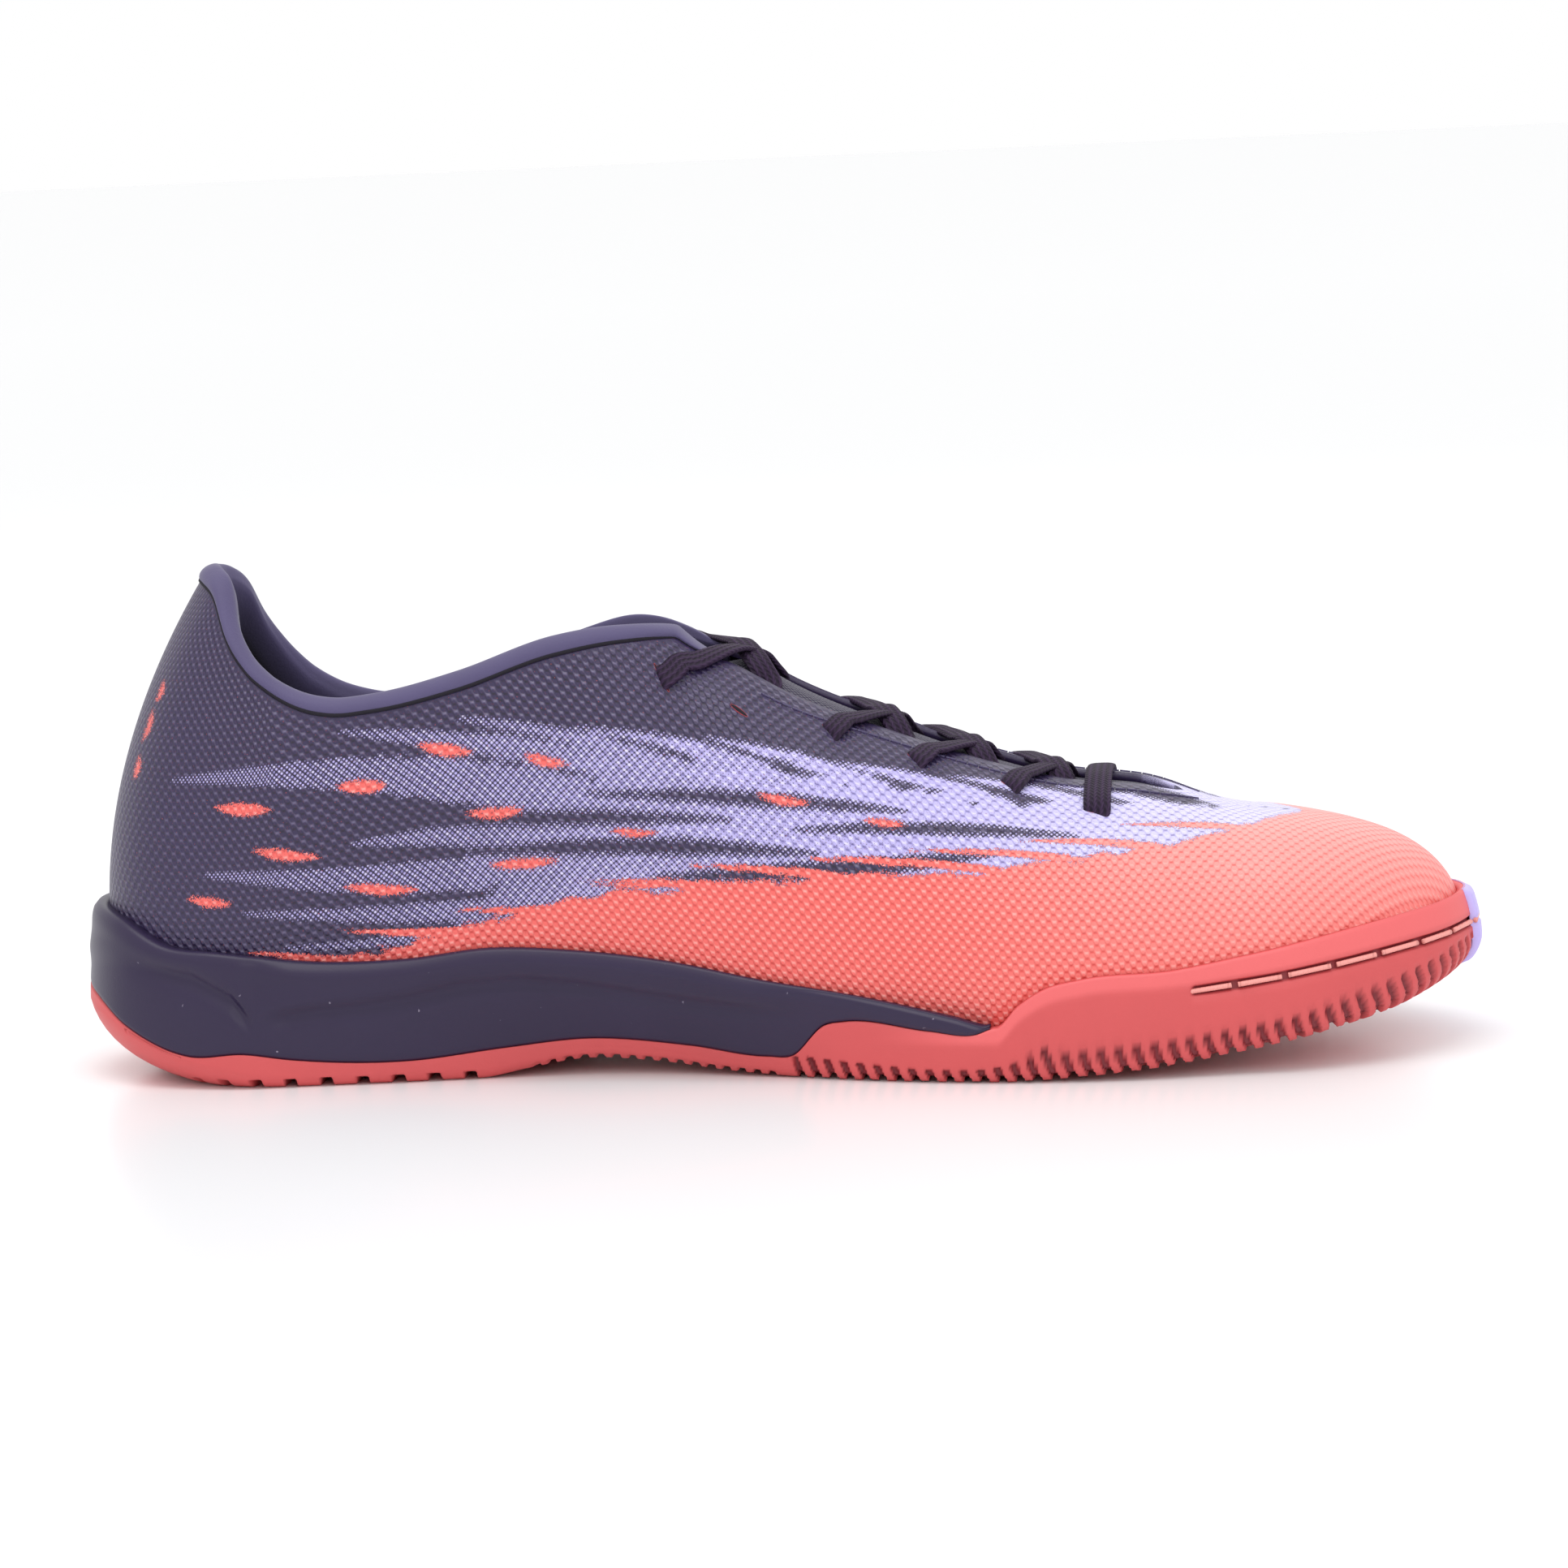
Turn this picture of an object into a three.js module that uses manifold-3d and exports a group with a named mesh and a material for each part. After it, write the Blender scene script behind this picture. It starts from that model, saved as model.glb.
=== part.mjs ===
// Left indoor soccer shoe, standing empty on its sole.
// Millimetres, +X to the toe, +Y to the outer side, +Z up.
import * as THREE from 'three';
import { mergeVertices } from 'three/addons/utils/BufferGeometryUtils.js';
import Module from 'manifold-3d';

const wasm = await Module();
wasm.setup();

// Main sizes
const SHOE_LENGTH = 288;
const BALL_WIDTH = 98;
const HEEL_WIDTH = 66;
const HEEL_HEIGHT = 104;
const INSTEP_HEIGHT = 80;
const TOE_HEIGHT = 48.2;
const TOE_SWING = 6;
const CLEARANCE = 0.3;
const FACET_ROOM = 0.4;

// Upper, lining, tongue and insole
const UPPER_WALL = 2;
const FEATHER_INSET = 5;
const TOE_SLOPE = 0.11;
const LINING_DEPTH = 34;
const LINING_PAD = 5;
const ROLL_HEIGHT = 3;
const ROLL_LEAN = 0.2;
const TONGUE_THICKNESS = 3;
const INSOLE_THICKNESS = 3.5;
const THROAT_HALF_WIDTH = 10;

// Sole
const HEEL_STACK = 15;
const BALL_STACK = 7.5;
const TOE_SPRING = 16;
const ARCH_RISE = 3.3;
const SOLE_SIDE_HEIGHT = 34;
const SOLE_EDGE = 2.5;
const HEEL_ROLL = 18.5;
const EDGE_ROUNDNESS = 0.8;
const SOLE_LIP = 1.8;
const WALL_BULGE = 0.6;

// Ribs, notches and lugs of the sole
const RIB_PITCH = 3.5;
const RIB_GROOVE = 1.3;
const RIB_DEPTH = 1;
const RIB_HEIGHT = 5;
const NOTCH_PITCH = 7.3;
const NOTCH_WIDTH = 2.5;
const NOTCH_HEIGHT = 1.7;
const NOTCH_LENGTH = 14;
const LUG_PITCH = 10;
const LUG_GROOVE = 3;
const LUG_DEPTH = 1.4;
const RIB_SLANT = 20;
const RIB_START = 0.521;
const NOTCH_END = 0.3;
const LUG_START = 0.545;
const LUG_END = 0.92;

// Toe guard
const GUARD_PROUD = 1.3;
const GUARD_SEAT = 0.2;
const GUARD_MEDIAL_TURN = 76;
const GUARD_LATERAL_TURN = 44;
const GUARD_INNER_REACH = 33;

// Lace
const LACE_WIDTH = 5.5;
const LACE_THICKNESS = 1.4;
const LACE_LIFT = 1;
const LACE_HUMP = 1;
const HUMP_PLACE = 0.76;
const HUMP_SPREAD = 0.22;
const LACE_TUCK = 5.5;

// Sampling
const HALF_STATIONS = 34;
const COLLAR_STATIONS = 36;
const TURN_RADIUS = 40;
const FAR = 200;

// Sections of the last from heel to toe. Each is an upright plane through the spine.
// at: share of the length; turn: degrees from square across; width: the size that the reaches follow
// upper and sole reaches: medial then lateral, shares of the width
// crown: top of the section, share of the named height; bow: shape of its side, 2 is an ellipse
// widest: height of the widest place, share of the sole side height; roll: share of the heel roll
const SECTIONS = [
  { at: 0.16, turn: -90, width: HEEL_WIDTH, upper: [0.621, 0.621], sole: [0.697, 0.697],
    height: HEEL_HEIGHT, crown: 1.2, bow: 1, widest: 0.91, roll: 1 },
  { at: 0.16, turn: -60, width: HEEL_WIDTH, upper: [0.586, 0.586], sole: [0.659, 0.659],
    height: HEEL_HEIGHT, crown: 1.14, bow: 1.15, widest: 0.91, roll: 0.8 },
  { at: 0.16, turn: -30, width: HEEL_WIDTH, upper: [0.492, 0.495], sole: [0.559, 0.562],
    height: HEEL_HEIGHT, crown: 1.06, bow: 1.55, widest: 0.91, roll: 0.25 },
  { at: 0.16, turn: 0, width: HEEL_WIDTH, upper: [0.432, 0.447], sole: [0.492, 0.508],
    height: HEEL_HEIGHT, crown: 0.99, bow: 2, widest: 0.94, roll: 0 },
  { at: 0.23, turn: 0, width: HEEL_WIDTH, upper: [0.432, 0.47], sole: [0.458, 0.524],
    height: HEEL_HEIGHT, crown: 0.97, bow: 2, widest: 1.06, roll: 0 },
  { at: 0.313, turn: 0, width: HEEL_WIDTH, upper: [0.439, 0.515], sole: [0.405, 0.552],
    height: HEEL_HEIGHT, crown: 1, bow: 2.1, widest: 1.18, roll: 0 },
  { at: 0.382, turn: 0, width: HEEL_WIDTH, upper: [0.455, 0.553], sole: [0.386, 0.591],
    height: HEEL_HEIGHT, crown: 1, bow: 2.1, widest: 1.12, roll: 0 },
  { at: 0.417, turn: 0, width: BALL_WIDTH, upper: [0.315, 0.382], sole: [0.267, 0.414],
    height: HEEL_HEIGHT, crown: 0.93, bow: 2.1, widest: 1.06, roll: 0 },
  { at: 0.451, turn: 0, width: BALL_WIDTH, upper: [0.327, 0.393], sole: [0.28, 0.435],
    height: INSTEP_HEIGHT, crown: 1.1, bow: 2.1, widest: 1, roll: 0 },
  { at: 0.486, turn: 0, width: BALL_WIDTH, upper: [0.34, 0.412], sole: [0.304, 0.46],
    height: INSTEP_HEIGHT, crown: 1.038, bow: 2.1, widest: 0.94, roll: 0 },
  { at: 0.521, turn: 0, width: BALL_WIDTH, upper: [0.352, 0.429], sole: [0.33, 0.482],
    height: INSTEP_HEIGHT, crown: 0.962, bow: 2.1, widest: 0.88, roll: 0 },
  { at: 0.59, turn: 0, width: BALL_WIDTH, upper: [0.372, 0.49], sole: [0.39, 0.529],
    height: INSTEP_HEIGHT, crown: 0.85, bow: 2.2, widest: 0.74, roll: 0 },
  { at: 0.66, turn: 0, width: BALL_WIDTH, upper: [0.398, 0.531], sole: [0.424, 0.565],
    height: INSTEP_HEIGHT, crown: 0.756, bow: 2.2, widest: 0.65, roll: 0 },
  { at: 0.712, turn: 0, width: BALL_WIDTH, upper: [0.403, 0.536], sole: [0.43, 0.57],
    height: INSTEP_HEIGHT, crown: 0.704, bow: 2.2, widest: 0.62, roll: 0 },
  { at: 0.764, turn: 0, width: BALL_WIDTH, upper: [0.391, 0.52], sole: [0.42, 0.554],
    height: TOE_HEIGHT, crown: 1.13, bow: 2.2, widest: 0.63, roll: 0 },
  { at: 0.84, turn: 0, width: BALL_WIDTH, upper: [0.347, 0.46], sole: [0.378, 0.494],
    height: TOE_HEIGHT, crown: 1, bow: 2.3, widest: 0.65, roll: 0 },
  { at: 0.84, turn: 12, width: BALL_WIDTH, upper: [0.343, 0.45], sole: [0.375, 0.482],
    height: TOE_HEIGHT, crown: 1, bow: 2.4, widest: 0.67, roll: 0 },
  { at: 0.84, turn: 32, width: BALL_WIDTH, upper: [0.347, 0.42], sole: [0.38, 0.453],
    height: TOE_HEIGHT, crown: 1, bow: 2.6, widest: 0.7, roll: 0.03 },
  { at: 0.84, turn: 53, width: BALL_WIDTH, upper: [0.376, 0.402], sole: [0.411, 0.437],
    height: TOE_HEIGHT, crown: 1, bow: 2.9, widest: 0.73, roll: 0.08 },
  { at: 0.84, turn: 72, width: BALL_WIDTH, upper: [0.409, 0.411], sole: [0.441, 0.443],
    height: TOE_HEIGHT, crown: 1, bow: 3.2, widest: 0.75, roll: 0.13 },
  { at: 0.84, turn: 90, width: BALL_WIDTH, upper: [0.425, 0.425], sole: [0.457, 0.457],
    height: TOE_HEIGHT, crown: 1, bow: 3.5, widest: 0.76, roll: 0.17 },
];

// Lines down the side. Each pair: share of the length, share of the named height.
const TOE_SPRING_LINE = [[0.66, 0], [0.729, 0.06], [0.785, 0.155], [0.84, 0.3], [0.896, 0.49],
  [0.938, 0.66], [0.965, 0.82], [1, 1]];
const ARCH_LINE = [[0.295, 0], [0.33, 0.5], [0.368, 1], [0.417, 0.85], [0.472, 0.3], [0.556, 0]];
const STACK_LINE = [[0, 1], [0.21, 1], [0.35, 0.6], [0.47, 0.3], [0.6, 0.07], [0.7, 0], [1, -0.1]];
const MIDSOLE_TOP_LINE = [[-0.05, 1.05], [0.03, 1], [0.073, 0.85], [0.11, 0.82], [0.194, 0.74],
  [0.25, 0.75], [0.31, 0.805], [0.37, 0.78], [0.434, 0.715], [0.503, 0.6], [0.57, 0.505],
  [0.635, 0.385], [0.664, 0.325]];
const RAND_TOP_LINE = [[0.664, 0.325], [0.68, 0.45], [0.698, 0.545], [0.722, 0.595], [0.788, 0.63],
  [0.844, 0.705], [0.899, 0.79], [0.955, 0.868], [1.05, 0.94]];
const SOLE_CAP_LINE = [[0, 1.09], [0.031, 1.06], [0.1, 0.88], [0.194, 0.79], [0.337, 0.84],
  [0.434, 0.76], [0.535, 0.64], [0.608, 0.58], [0.7, 0.605], [0.788, 0.67], [0.872, 0.79],
  [0.955, 0.91], [1, 0.96]];
const COLOUR_SPLIT_LINE = [[-0.05, 0.55], [0.014, 0.51], [0.042, 0.36], [0.09, 0.2], [0.132, 0.21],
  [0.167, 0.165], [0.25, 0.135], [0.316, 0.19], [0.375, 0.23], [0.448, 0.185], [0.503, 0.13],
  [0.521, 0.14], [0.545, 0.335], [0.559, 0.36], [0.618, 0.31], [0.65, 0.29], [0.664, 0.325]];
const MEDIAL_COLLAR_LINE = [[-0.05, 0.976], [0.09, 0.976], [0.104, 0.967], [0.115, 0.94],
  [0.125, 0.87], [0.139, 0.81], [0.156, 0.767], [0.177, 0.734], [0.201, 0.719], [0.229, 0.724],
  [0.292, 0.761], [0.361, 0.822], [0.406, 0.841], [0.444, 0.838], [0.476, 0.813], [0.49, 0.795]];
const LATERAL_COLLAR_LINE = [[-0.05, 0.976], [0.09, 0.976], [0.104, 0.962], [0.115, 0.93],
  [0.125, 0.868], [0.139, 0.808], [0.156, 0.756], [0.177, 0.714], [0.201, 0.689], [0.229, 0.678],
  [0.292, 0.712], [0.361, 0.793], [0.406, 0.827], [0.444, 0.815], [0.476, 0.79], [0.49, 0.775]];

// Half-width of the throat, share of its half-width at the top
const THROAT_LINE = [[0.44, 1], [0.5, 1], [0.62, 0.86], [0.72, 0.72], [0.77, 0.62], [0.785, 0.4]];
const THROAT_END = 0.789;
const COLLAR_FRONT = 0.427;

// Half-width of the tongue, share of the throat's half-width at the top
const TONGUE_LINE = [[0.41, 0.7], [0.42, 0.8], [0.465, 1.05], [0.5, 1.3], [0.56, 1.7], [0.7, 1.65],
  [0.8, 1.4]];

// Top of the tongue where it leaves the throat, share of the instep height
const TONGUE_TOP_LINE = [[0.41, 1.07], [0.44, 1.03], [0.465, 1.02], [0.49, 1.03]];

// Eyelets in use: share of the length, distance from the spine as a share of the ball width
// and how far forward the lace runs from it before it dives under the far edge, share of the length
const LACED_EYELETS = [[0.436, 0.2, 0.07], [0.552, 0.17, 0.047], [0.611, 0.174, 0.047],
  [0.676, 0.176, 0.036]];
const LOWEST_EYELET = [0.736, 0.214];

// Cross-section of the collar lining in its own plane
// lift: share of the roll height above the edge, or of the depth below it
// inset: distance in from the skin, as shares of the wall and of the pad
const LINING_SECTION = [
  { lift: 0.25, wall: 0.1, pad: 0 },
  { lift: 0.6, wall: 0.15, pad: 0 },
  { lift: 1, wall: 1, pad: 0 },
  { lift: 0.95, wall: 1, pad: 0.5 },
  { lift: 0.4, wall: 1, pad: 0.9 },
  { lift: -0.1, wall: 1, pad: 1 },
  { lift: -0.4, wall: 1, pad: 1.15 },
  { lift: -0.75, wall: 1, pad: 0.6 },
  { lift: -1, wall: 1.6, pad: 0 },
  { lift: -1, wall: 1.3, pad: 0 },
  { lift: -0.7, wall: 1.3, pad: 0 },
  { lift: -0.12, wall: 1.4, pad: 0 },
  { lift: 0, wall: 1.45, pad: 0 },
  { lift: 0.25, wall: 1.5, pad: 0 },
];

// A smooth curve through a few values, flat beyond its ends
function curveThrough(knots, values) {
  const last = knots.length - 1;
  const slopes = values.map((value, i) => {
    if (i === 0 || i === last) {
      return 0;
    }
    const before = knots[i] - knots[i - 1];
    const after = knots[i + 1] - knots[i];
    const fall = (value - values[i - 1]) / before;
    const rise = (values[i + 1] - value) / after;
    return (fall * after + rise * before) / (before + after);
  });
  return (place) => {
    let i = 0;
    while (i < last - 1 && place > knots[i + 1]) {
      i += 1;
    }
    const span = knots[i + 1] - knots[i];
    const t = THREE.MathUtils.clamp((place - knots[i]) / span, 0, 1);
    const squared = t * t;
    const cubed = squared * t;
    return (2 * cubed - 3 * squared + 1) * values[i] + (cubed - 2 * squared + t) * span * slopes[i]
      + (3 * squared - 2 * cubed) * values[i + 1] + (cubed - squared) * span * slopes[i + 1];
  };
}

function lineOf(table, height) {
  return curveThrough(table.map((pair) => pair[0] * SHOE_LENGTH), table.map((pair) => pair[1] * height));
}

const toeSpring = lineOf(TOE_SPRING_LINE, TOE_SPRING);
const archRise = lineOf(ARCH_LINE, ARCH_RISE);
const stack = lineOf(STACK_LINE, HEEL_STACK - BALL_STACK);
const soleCap = lineOf(SOLE_CAP_LINE, SOLE_SIDE_HEIGHT);

function groundHeight(x) {
  return toeSpring(x) + archRise(x);
}

function floorHeight(x) {
  return groundHeight(x) + BALL_STACK + stack(x);
}

// Stations go once round the shoe: heel, medial side, toe, lateral side
const HEEL_CENTRE = SECTIONS[0].at * SHOE_LENGTH;
const TOE_CENTRE = SECTIONS[SECTIONS.length - 1].at * SHOE_LENGTH;

function spineY(x) {
  const share = THREE.MathUtils.clamp((x - HEEL_CENTRE) / (TOE_CENTRE - HEEL_CENTRE), 0, 1);
  return -TOE_SWING * share;
}

function alongOf(section) {
  return section.at * SHOE_LENGTH + TURN_RADIUS * THREE.MathUtils.degToRad(section.turn);
}

const ALONG_START = alongOf(SECTIONS[0]);
const ALONG_END = alongOf(SECTIONS[SECTIONS.length - 1]);

// One column of the sections, smooth round the whole loop
function loopColumn(read) {
  const medial = SECTIONS.map((section) => [alongOf(section) - ALONG_START, read(section, 0)]);
  const round = 2 * (ALONG_END - ALONG_START);
  const lateral = SECTIONS.map((section) => [round - (alongOf(section) - ALONG_START), read(section, 1)]);
  const loop = medial.concat(lateral.reverse().slice(1));
  const before = loop.slice(-4, -1).map(([knot, value]) => [knot - round, value]);
  const after = loop.slice(1, 4).map(([knot, value]) => [knot + round, value]);
  const all = before.concat(loop, after);
  return curveThrough(all.map((pair) => pair[0]), all.map((pair) => pair[1]));
}

const column = {
  upper: loopColumn((section, side) => section.upper[side] * section.width),
  sole: loopColumn((section, side) => section.sole[side] * section.width),
  crown: loopColumn((section) => section.crown * section.height),
  bow: loopColumn((section) => section.bow),
  widest: loopColumn((section) => section.widest * SOLE_SIDE_HEIGHT),
  roll: loopColumn((section) => section.roll),
};

function station(along, side) {
  const x = THREE.MathUtils.clamp(along, HEEL_CENTRE, TOE_CENTRE);
  const turn = (along - x) / TURN_RADIUS;
  const walked = along - ALONG_START;
  const place = side < 0 ? walked : 2 * (ALONG_END - ALONG_START) - walked;
  const spot = { x, y: spineY(x), outX: Math.sin(turn), outY: side * Math.cos(turn) };
  Object.keys(column).forEach((name) => {
    spot[name] = column[name](place);
  });
  spot.feather = Math.min(spot.upper, spot.sole) - FEATHER_INSET;
  spot.floor = floorHeight(spot.x + spot.outX * spot.feather);
  return spot;
}

function stationLoop(half) {
  const step = (ALONG_END - ALONG_START) / half;
  const loop = [];
  for (let i = 0; i <= half; i += 1) {
    loop.push(station(ALONG_START + i * step, -1));
  }
  for (let i = half - 1; i > 0; i -= 1) {
    loop.push(station(ALONG_START + i * step, 1));
  }
  return loop;
}

function pointAt(spot, reach, height) {
  return new THREE.Vector3(spot.x + spot.outX * reach, spot.y + spot.outY * reach, height);
}

// The skin of the last in one section: step 0 to 1 is under the widest place, 1 to 2 over it
function skinAt(spot, step) {
  if (step < 1) {
    const lower = step * Math.PI / 2;
    return {
      reach: spot.feather + (spot.upper - spot.feather) * Math.sin(lower),
      height: spot.widest - (spot.widest - spot.floor) * Math.cos(lower),
    };
  }
  const rise = Math.min(step - 1, 1) * Math.PI / 2;
  const reach = spot.upper * Math.max(Math.cos(rise), 0) ** (2 / spot.bow);
  const crown = spot.crown - TOE_SLOPE * Math.max(reach * spot.outX, 0);
  return { reach, height: spot.widest + (crown - spot.widest) * Math.sin(rise) };
}

function skinOffset(spot, step, grow) {
  const here = skinAt(spot, step);
  const low = skinAt(spot, Math.max(step - 0.01, 0));
  const high = skinAt(spot, Math.min(step + 0.01, 2));
  let outward = high.height - low.height;
  let upward = low.reach - high.reach;
  if (step <= 0) {
    outward = 0;
    upward = -1;
  }
  if (here.reach < 1e-6) {
    outward = 0;
    upward = 1;
  }
  const size = Math.hypot(outward, upward);
  return { reach: here.reach + grow * outward / size, height: here.height + grow * upward / size };
}

// The step at which the skin reaches a height
function stepAtHeight(spot, height) {
  if (height < spot.widest) {
    const share = THREE.MathUtils.clamp((spot.widest - height) / (spot.widest - spot.floor), 0, 1);
    return Math.acos(share) / (Math.PI / 2);
  }
  const share = Math.min((height - spot.widest) / (spot.crown - spot.widest), 1);
  return 1 + Math.asin(share) / (Math.PI / 2);
}

// Solids
function geometryFrom(positions, faces) {
  const geometry = new THREE.BufferGeometry();
  geometry.setAttribute('position', new THREE.Float32BufferAttribute(positions, 3));
  geometry.setIndex(faces);
  return geometry;
}

function solidOf(geometry) {
  geometry.deleteAttribute('normal');
  geometry.deleteAttribute('uv');
  const merged = mergeVertices(geometry, 1e-4);
  const index = merged.index.array;
  const faces = [];
  for (let i = 0; i < index.length; i += 3) {
    const [a, b, c] = [index[i], index[i + 1], index[i + 2]];
    if (a !== b && b !== c && c !== a) {
      faces.push(a, b, c);
    }
  }
  return new wasm.Manifold(new wasm.Mesh({
    numProp: 3,
    vertProperties: new Float32Array(merged.attributes.position.array),
    triVerts: new Uint32Array(faces),
  }));
}

// A closed solid from a stack of loops, with its ends closed by strips between the two sides
function stackSolid(rings) {
  const count = rings[0].length;
  const positions = rings.flat().flatMap((point) => [point.x, point.y, point.z]);
  const faces = [];
  for (let level = 0; level < rings.length - 1; level += 1) {
    for (let i = 0; i < count; i += 1) {
      const next = (i + 1) % count;
      const low = level * count;
      const high = low + count;
      faces.push(low + i, low + next, high + next, low + i, high + next, high + i);
    }
  }
  const top = (rings.length - 1) * count;
  for (let i = 0; i < count / 2; i += 1) {
    const far = (count - i) % count;
    const farNext = count - i - 1;
    faces.push(i, far, farNext, i, farNext, i + 1);
    faces.push(top + i, top + farNext, top + far, top + i, top + i + 1, top + farNext);
  }
  return solidOf(geometryFrom(positions, faces));
}

// A closed solid swept through sections, each a closed loop of points
function sweepSolid(sections) {
  const count = sections[0].length;
  const positions = sections.flat().flatMap((point) => [point.x, point.y, point.z]);
  const faces = [];
  for (let level = 0; level < sections.length - 1; level += 1) {
    for (let i = 0; i < count; i += 1) {
      const next = (i + 1) % count;
      const low = level * count;
      const high = low + count;
      faces.push(low + i, high + next, low + next, low + i, high + i, high + next);
    }
  }
  const end = (sections.length - 1) * count;
  capTriangles(sections[0]).forEach(([a, b, c]) => faces.push(a, b, c));
  capTriangles(sections[sections.length - 1]).forEach(([a, b, c]) => faces.push(end + a, end + c, end + b));
  const swept = geometryFrom(positions, faces);
  if (signedVolume(swept) < 0) {
    faces.reverse();
  }
  return solidOf(geometryFrom(positions, faces));
}

// Triangles over a flat loop of points, all turned the way that the loop runs
function capTriangles(section) {
  const normal = new THREE.Vector3();
  section.forEach((point, i) => {
    const next = section[(i + 1) % section.length];
    normal.add(new THREE.Vector3().crossVectors(point, next));
  });
  normal.normalize();
  const first = new THREE.Vector3().subVectors(section[1], section[0]);
  first.addScaledVector(normal, -first.dot(normal)).normalize();
  const second = new THREE.Vector3().crossVectors(normal, first);
  const flat = section.map((point) => new THREE.Vector2(point.dot(first), point.dot(second)));
  return THREE.ShapeUtils.triangulateShape(flat, []).map(([a, b, c]) => {
    const area = THREE.ShapeUtils.area([flat[a], flat[b], flat[c]]);
    return area > 0 ? [a, b, c] : [a, c, b];
  });
}

function signedVolume(geometry) {
  const place = geometry.getAttribute('position');
  const index = geometry.index.array;
  const corner = [new THREE.Vector3(), new THREE.Vector3(), new THREE.Vector3()];
  let volume = 0;
  for (let i = 0; i < index.length; i += 3) {
    corner.forEach((point, k) => point.fromBufferAttribute(place, index[i + k]));
    volume += corner[0].dot(corner[1].cross(corner[2])) / 6;
  }
  return volume;
}

// A block with the outline given in side view, between two places across the shoe
function sideBlock(outline, yFrom, yTo) {
  const shape = new THREE.Shape(outline.map(([x, z]) => new THREE.Vector2(x, z)));
  const block = new THREE.ExtrudeGeometry(shape, { depth: yTo - yFrom, bevelEnabled: false });
  block.rotateX(Math.PI / 2);
  block.translate(0, yTo, 0);
  return solidOf(block);
}

// A block with the outline given in plan, between two heights
function planBlock(outline, zFrom, zTo) {
  const shape = new THREE.Shape(outline.map(([x, y]) => new THREE.Vector2(x, y)));
  const block = new THREE.ExtrudeGeometry(shape, { depth: zTo - zFrom, bevelEnabled: false });
  block.translate(0, 0, zFrom);
  return solidOf(block);
}

function linePoints(table, height, step) {
  const curve = lineOf(table, height);
  const start = table[0][0] * SHOE_LENGTH;
  const end = table[table.length - 1][0] * SHOE_LENGTH;
  const count = Math.ceil((end - start) / step);
  const points = [];
  for (let i = 0; i <= count; i += 1) {
    const x = start + (end - start) * i / count;
    points.push([x, curve(x)]);
  }
  return points;
}

// The form inside the skin of the last, grown or shrunk
const LOWER_STEPS = [0, 0.4, 0.75];
const UPPER_STEPS = [0, 0.13, 0.27, 0.4, 0.53, 0.66, 0.8, 0.9, 1];
const TRIM_HEIGHT = HEEL_HEIGHT * 1.06;

function lastForm(grow, openBelow) {
  const loop = stationLoop(HALF_STATIONS);
  const rings = [];
  const ringAt = (place) => loop.map((spot) => {
    const { reach, height } = place(spot);
    return pointAt(spot, reach, height);
  });
  if (openBelow) {
    rings.push(ringAt((spot) => ({ reach: spot.feather, height: spot.floor - BALL_STACK / 2 })));
  }
  LOWER_STEPS.forEach((step) => rings.push(ringAt((spot) => skinOffset(spot, step, grow))));
  UPPER_STEPS.forEach((share) => rings.push(ringAt((spot) => {
    const top = stepAtHeight(spot, TRIM_HEIGHT);
    return skinOffset(spot, 1 + share * (top - 1), grow);
  })));
  return stackSolid(rings);
}

// Everything above the collar line on both sides
function collarCutter() {
  const sides = [[MEDIAL_COLLAR_LINE, -FAR, 0], [LATERAL_COLLAR_LINE, 0, FAR]];
  const cutters = sides.map(([table, yFrom, yTo]) => {
    const line = linePoints(table, HEEL_HEIGHT, 3);
    const startX = line[0][0];
    const endX = line[line.length - 1][0];
    return sideBlock([...line, [endX, FAR], [startX, FAR]], yFrom, yTo);
  });
  return cutters[0].add(cutters[1]);
}

// The slot down the spine that the tongue shows through, open to the collar
function throatCutter() {
  const halfWidth = lineOf(THROAT_LINE, THROAT_HALF_WIDTH);
  const start = THROAT_LINE[0][0] * SHOE_LENGTH;
  const end = THROAT_END * SHOE_LENGTH;
  const count = Math.ceil((end - start) / 6);
  const medial = [];
  const lateral = [];
  for (let i = 0; i <= count; i += 1) {
    const x = start + (end - start) * i / count;
    medial.push([x, spineY(x) - halfWidth(x)]);
    lateral.unshift([x, spineY(x) + halfWidth(x)]);
  }
  return planBlock(medial.concat(lateral), INSTEP_HEIGHT / 2, FAR);
}

function makeUpper() {
  const shell = lastForm(0, false).subtract(lastForm(-UPPER_WALL, true));
  return shell.subtract(collarCutter()).subtract(throatCutter());
}

// Sections across the tongue, from its top edge to its hidden end
function makeTongue() {
  const halfWidth = lineOf(TONGUE_LINE, THROAT_HALF_WIDTH);
  const topLine = lineOf(TONGUE_TOP_LINE, INSTEP_HEIGHT);
  const start = TONGUE_LINE[0][0] * SHOE_LENGTH;
  const end = TONGUE_LINE[TONGUE_LINE.length - 1][0] * SHOE_LENGTH;
  const throatStart = TONGUE_TOP_LINE[TONGUE_TOP_LINE.length - 1][0] * SHOE_LENGTH;
  const across = [-1, -0.8, -0.4, 0, 0.4, 0.8, 1];
  const steps = 16;
  const sections = [];
  for (let i = 0; i <= steps; i += 1) {
    const x = start + (end - start) * i / steps;
    const crown = x < throatStart ? topLine(x) : null;
    const row = across.map((share) => spineY(x) + share * halfWidth(x));
    const depth = UPPER_WALL + CLEARANCE + FACET_ROOM;
    const over = row.map((y) => skinPoint(x, y, -depth, crown));
    const under = row.reverse().map((y) => skinPoint(x, y, -depth - TONGUE_THICKNESS, crown));
    sections.push([...over, ...under]);
  }
  return sweepSolid(sections);
}

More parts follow.
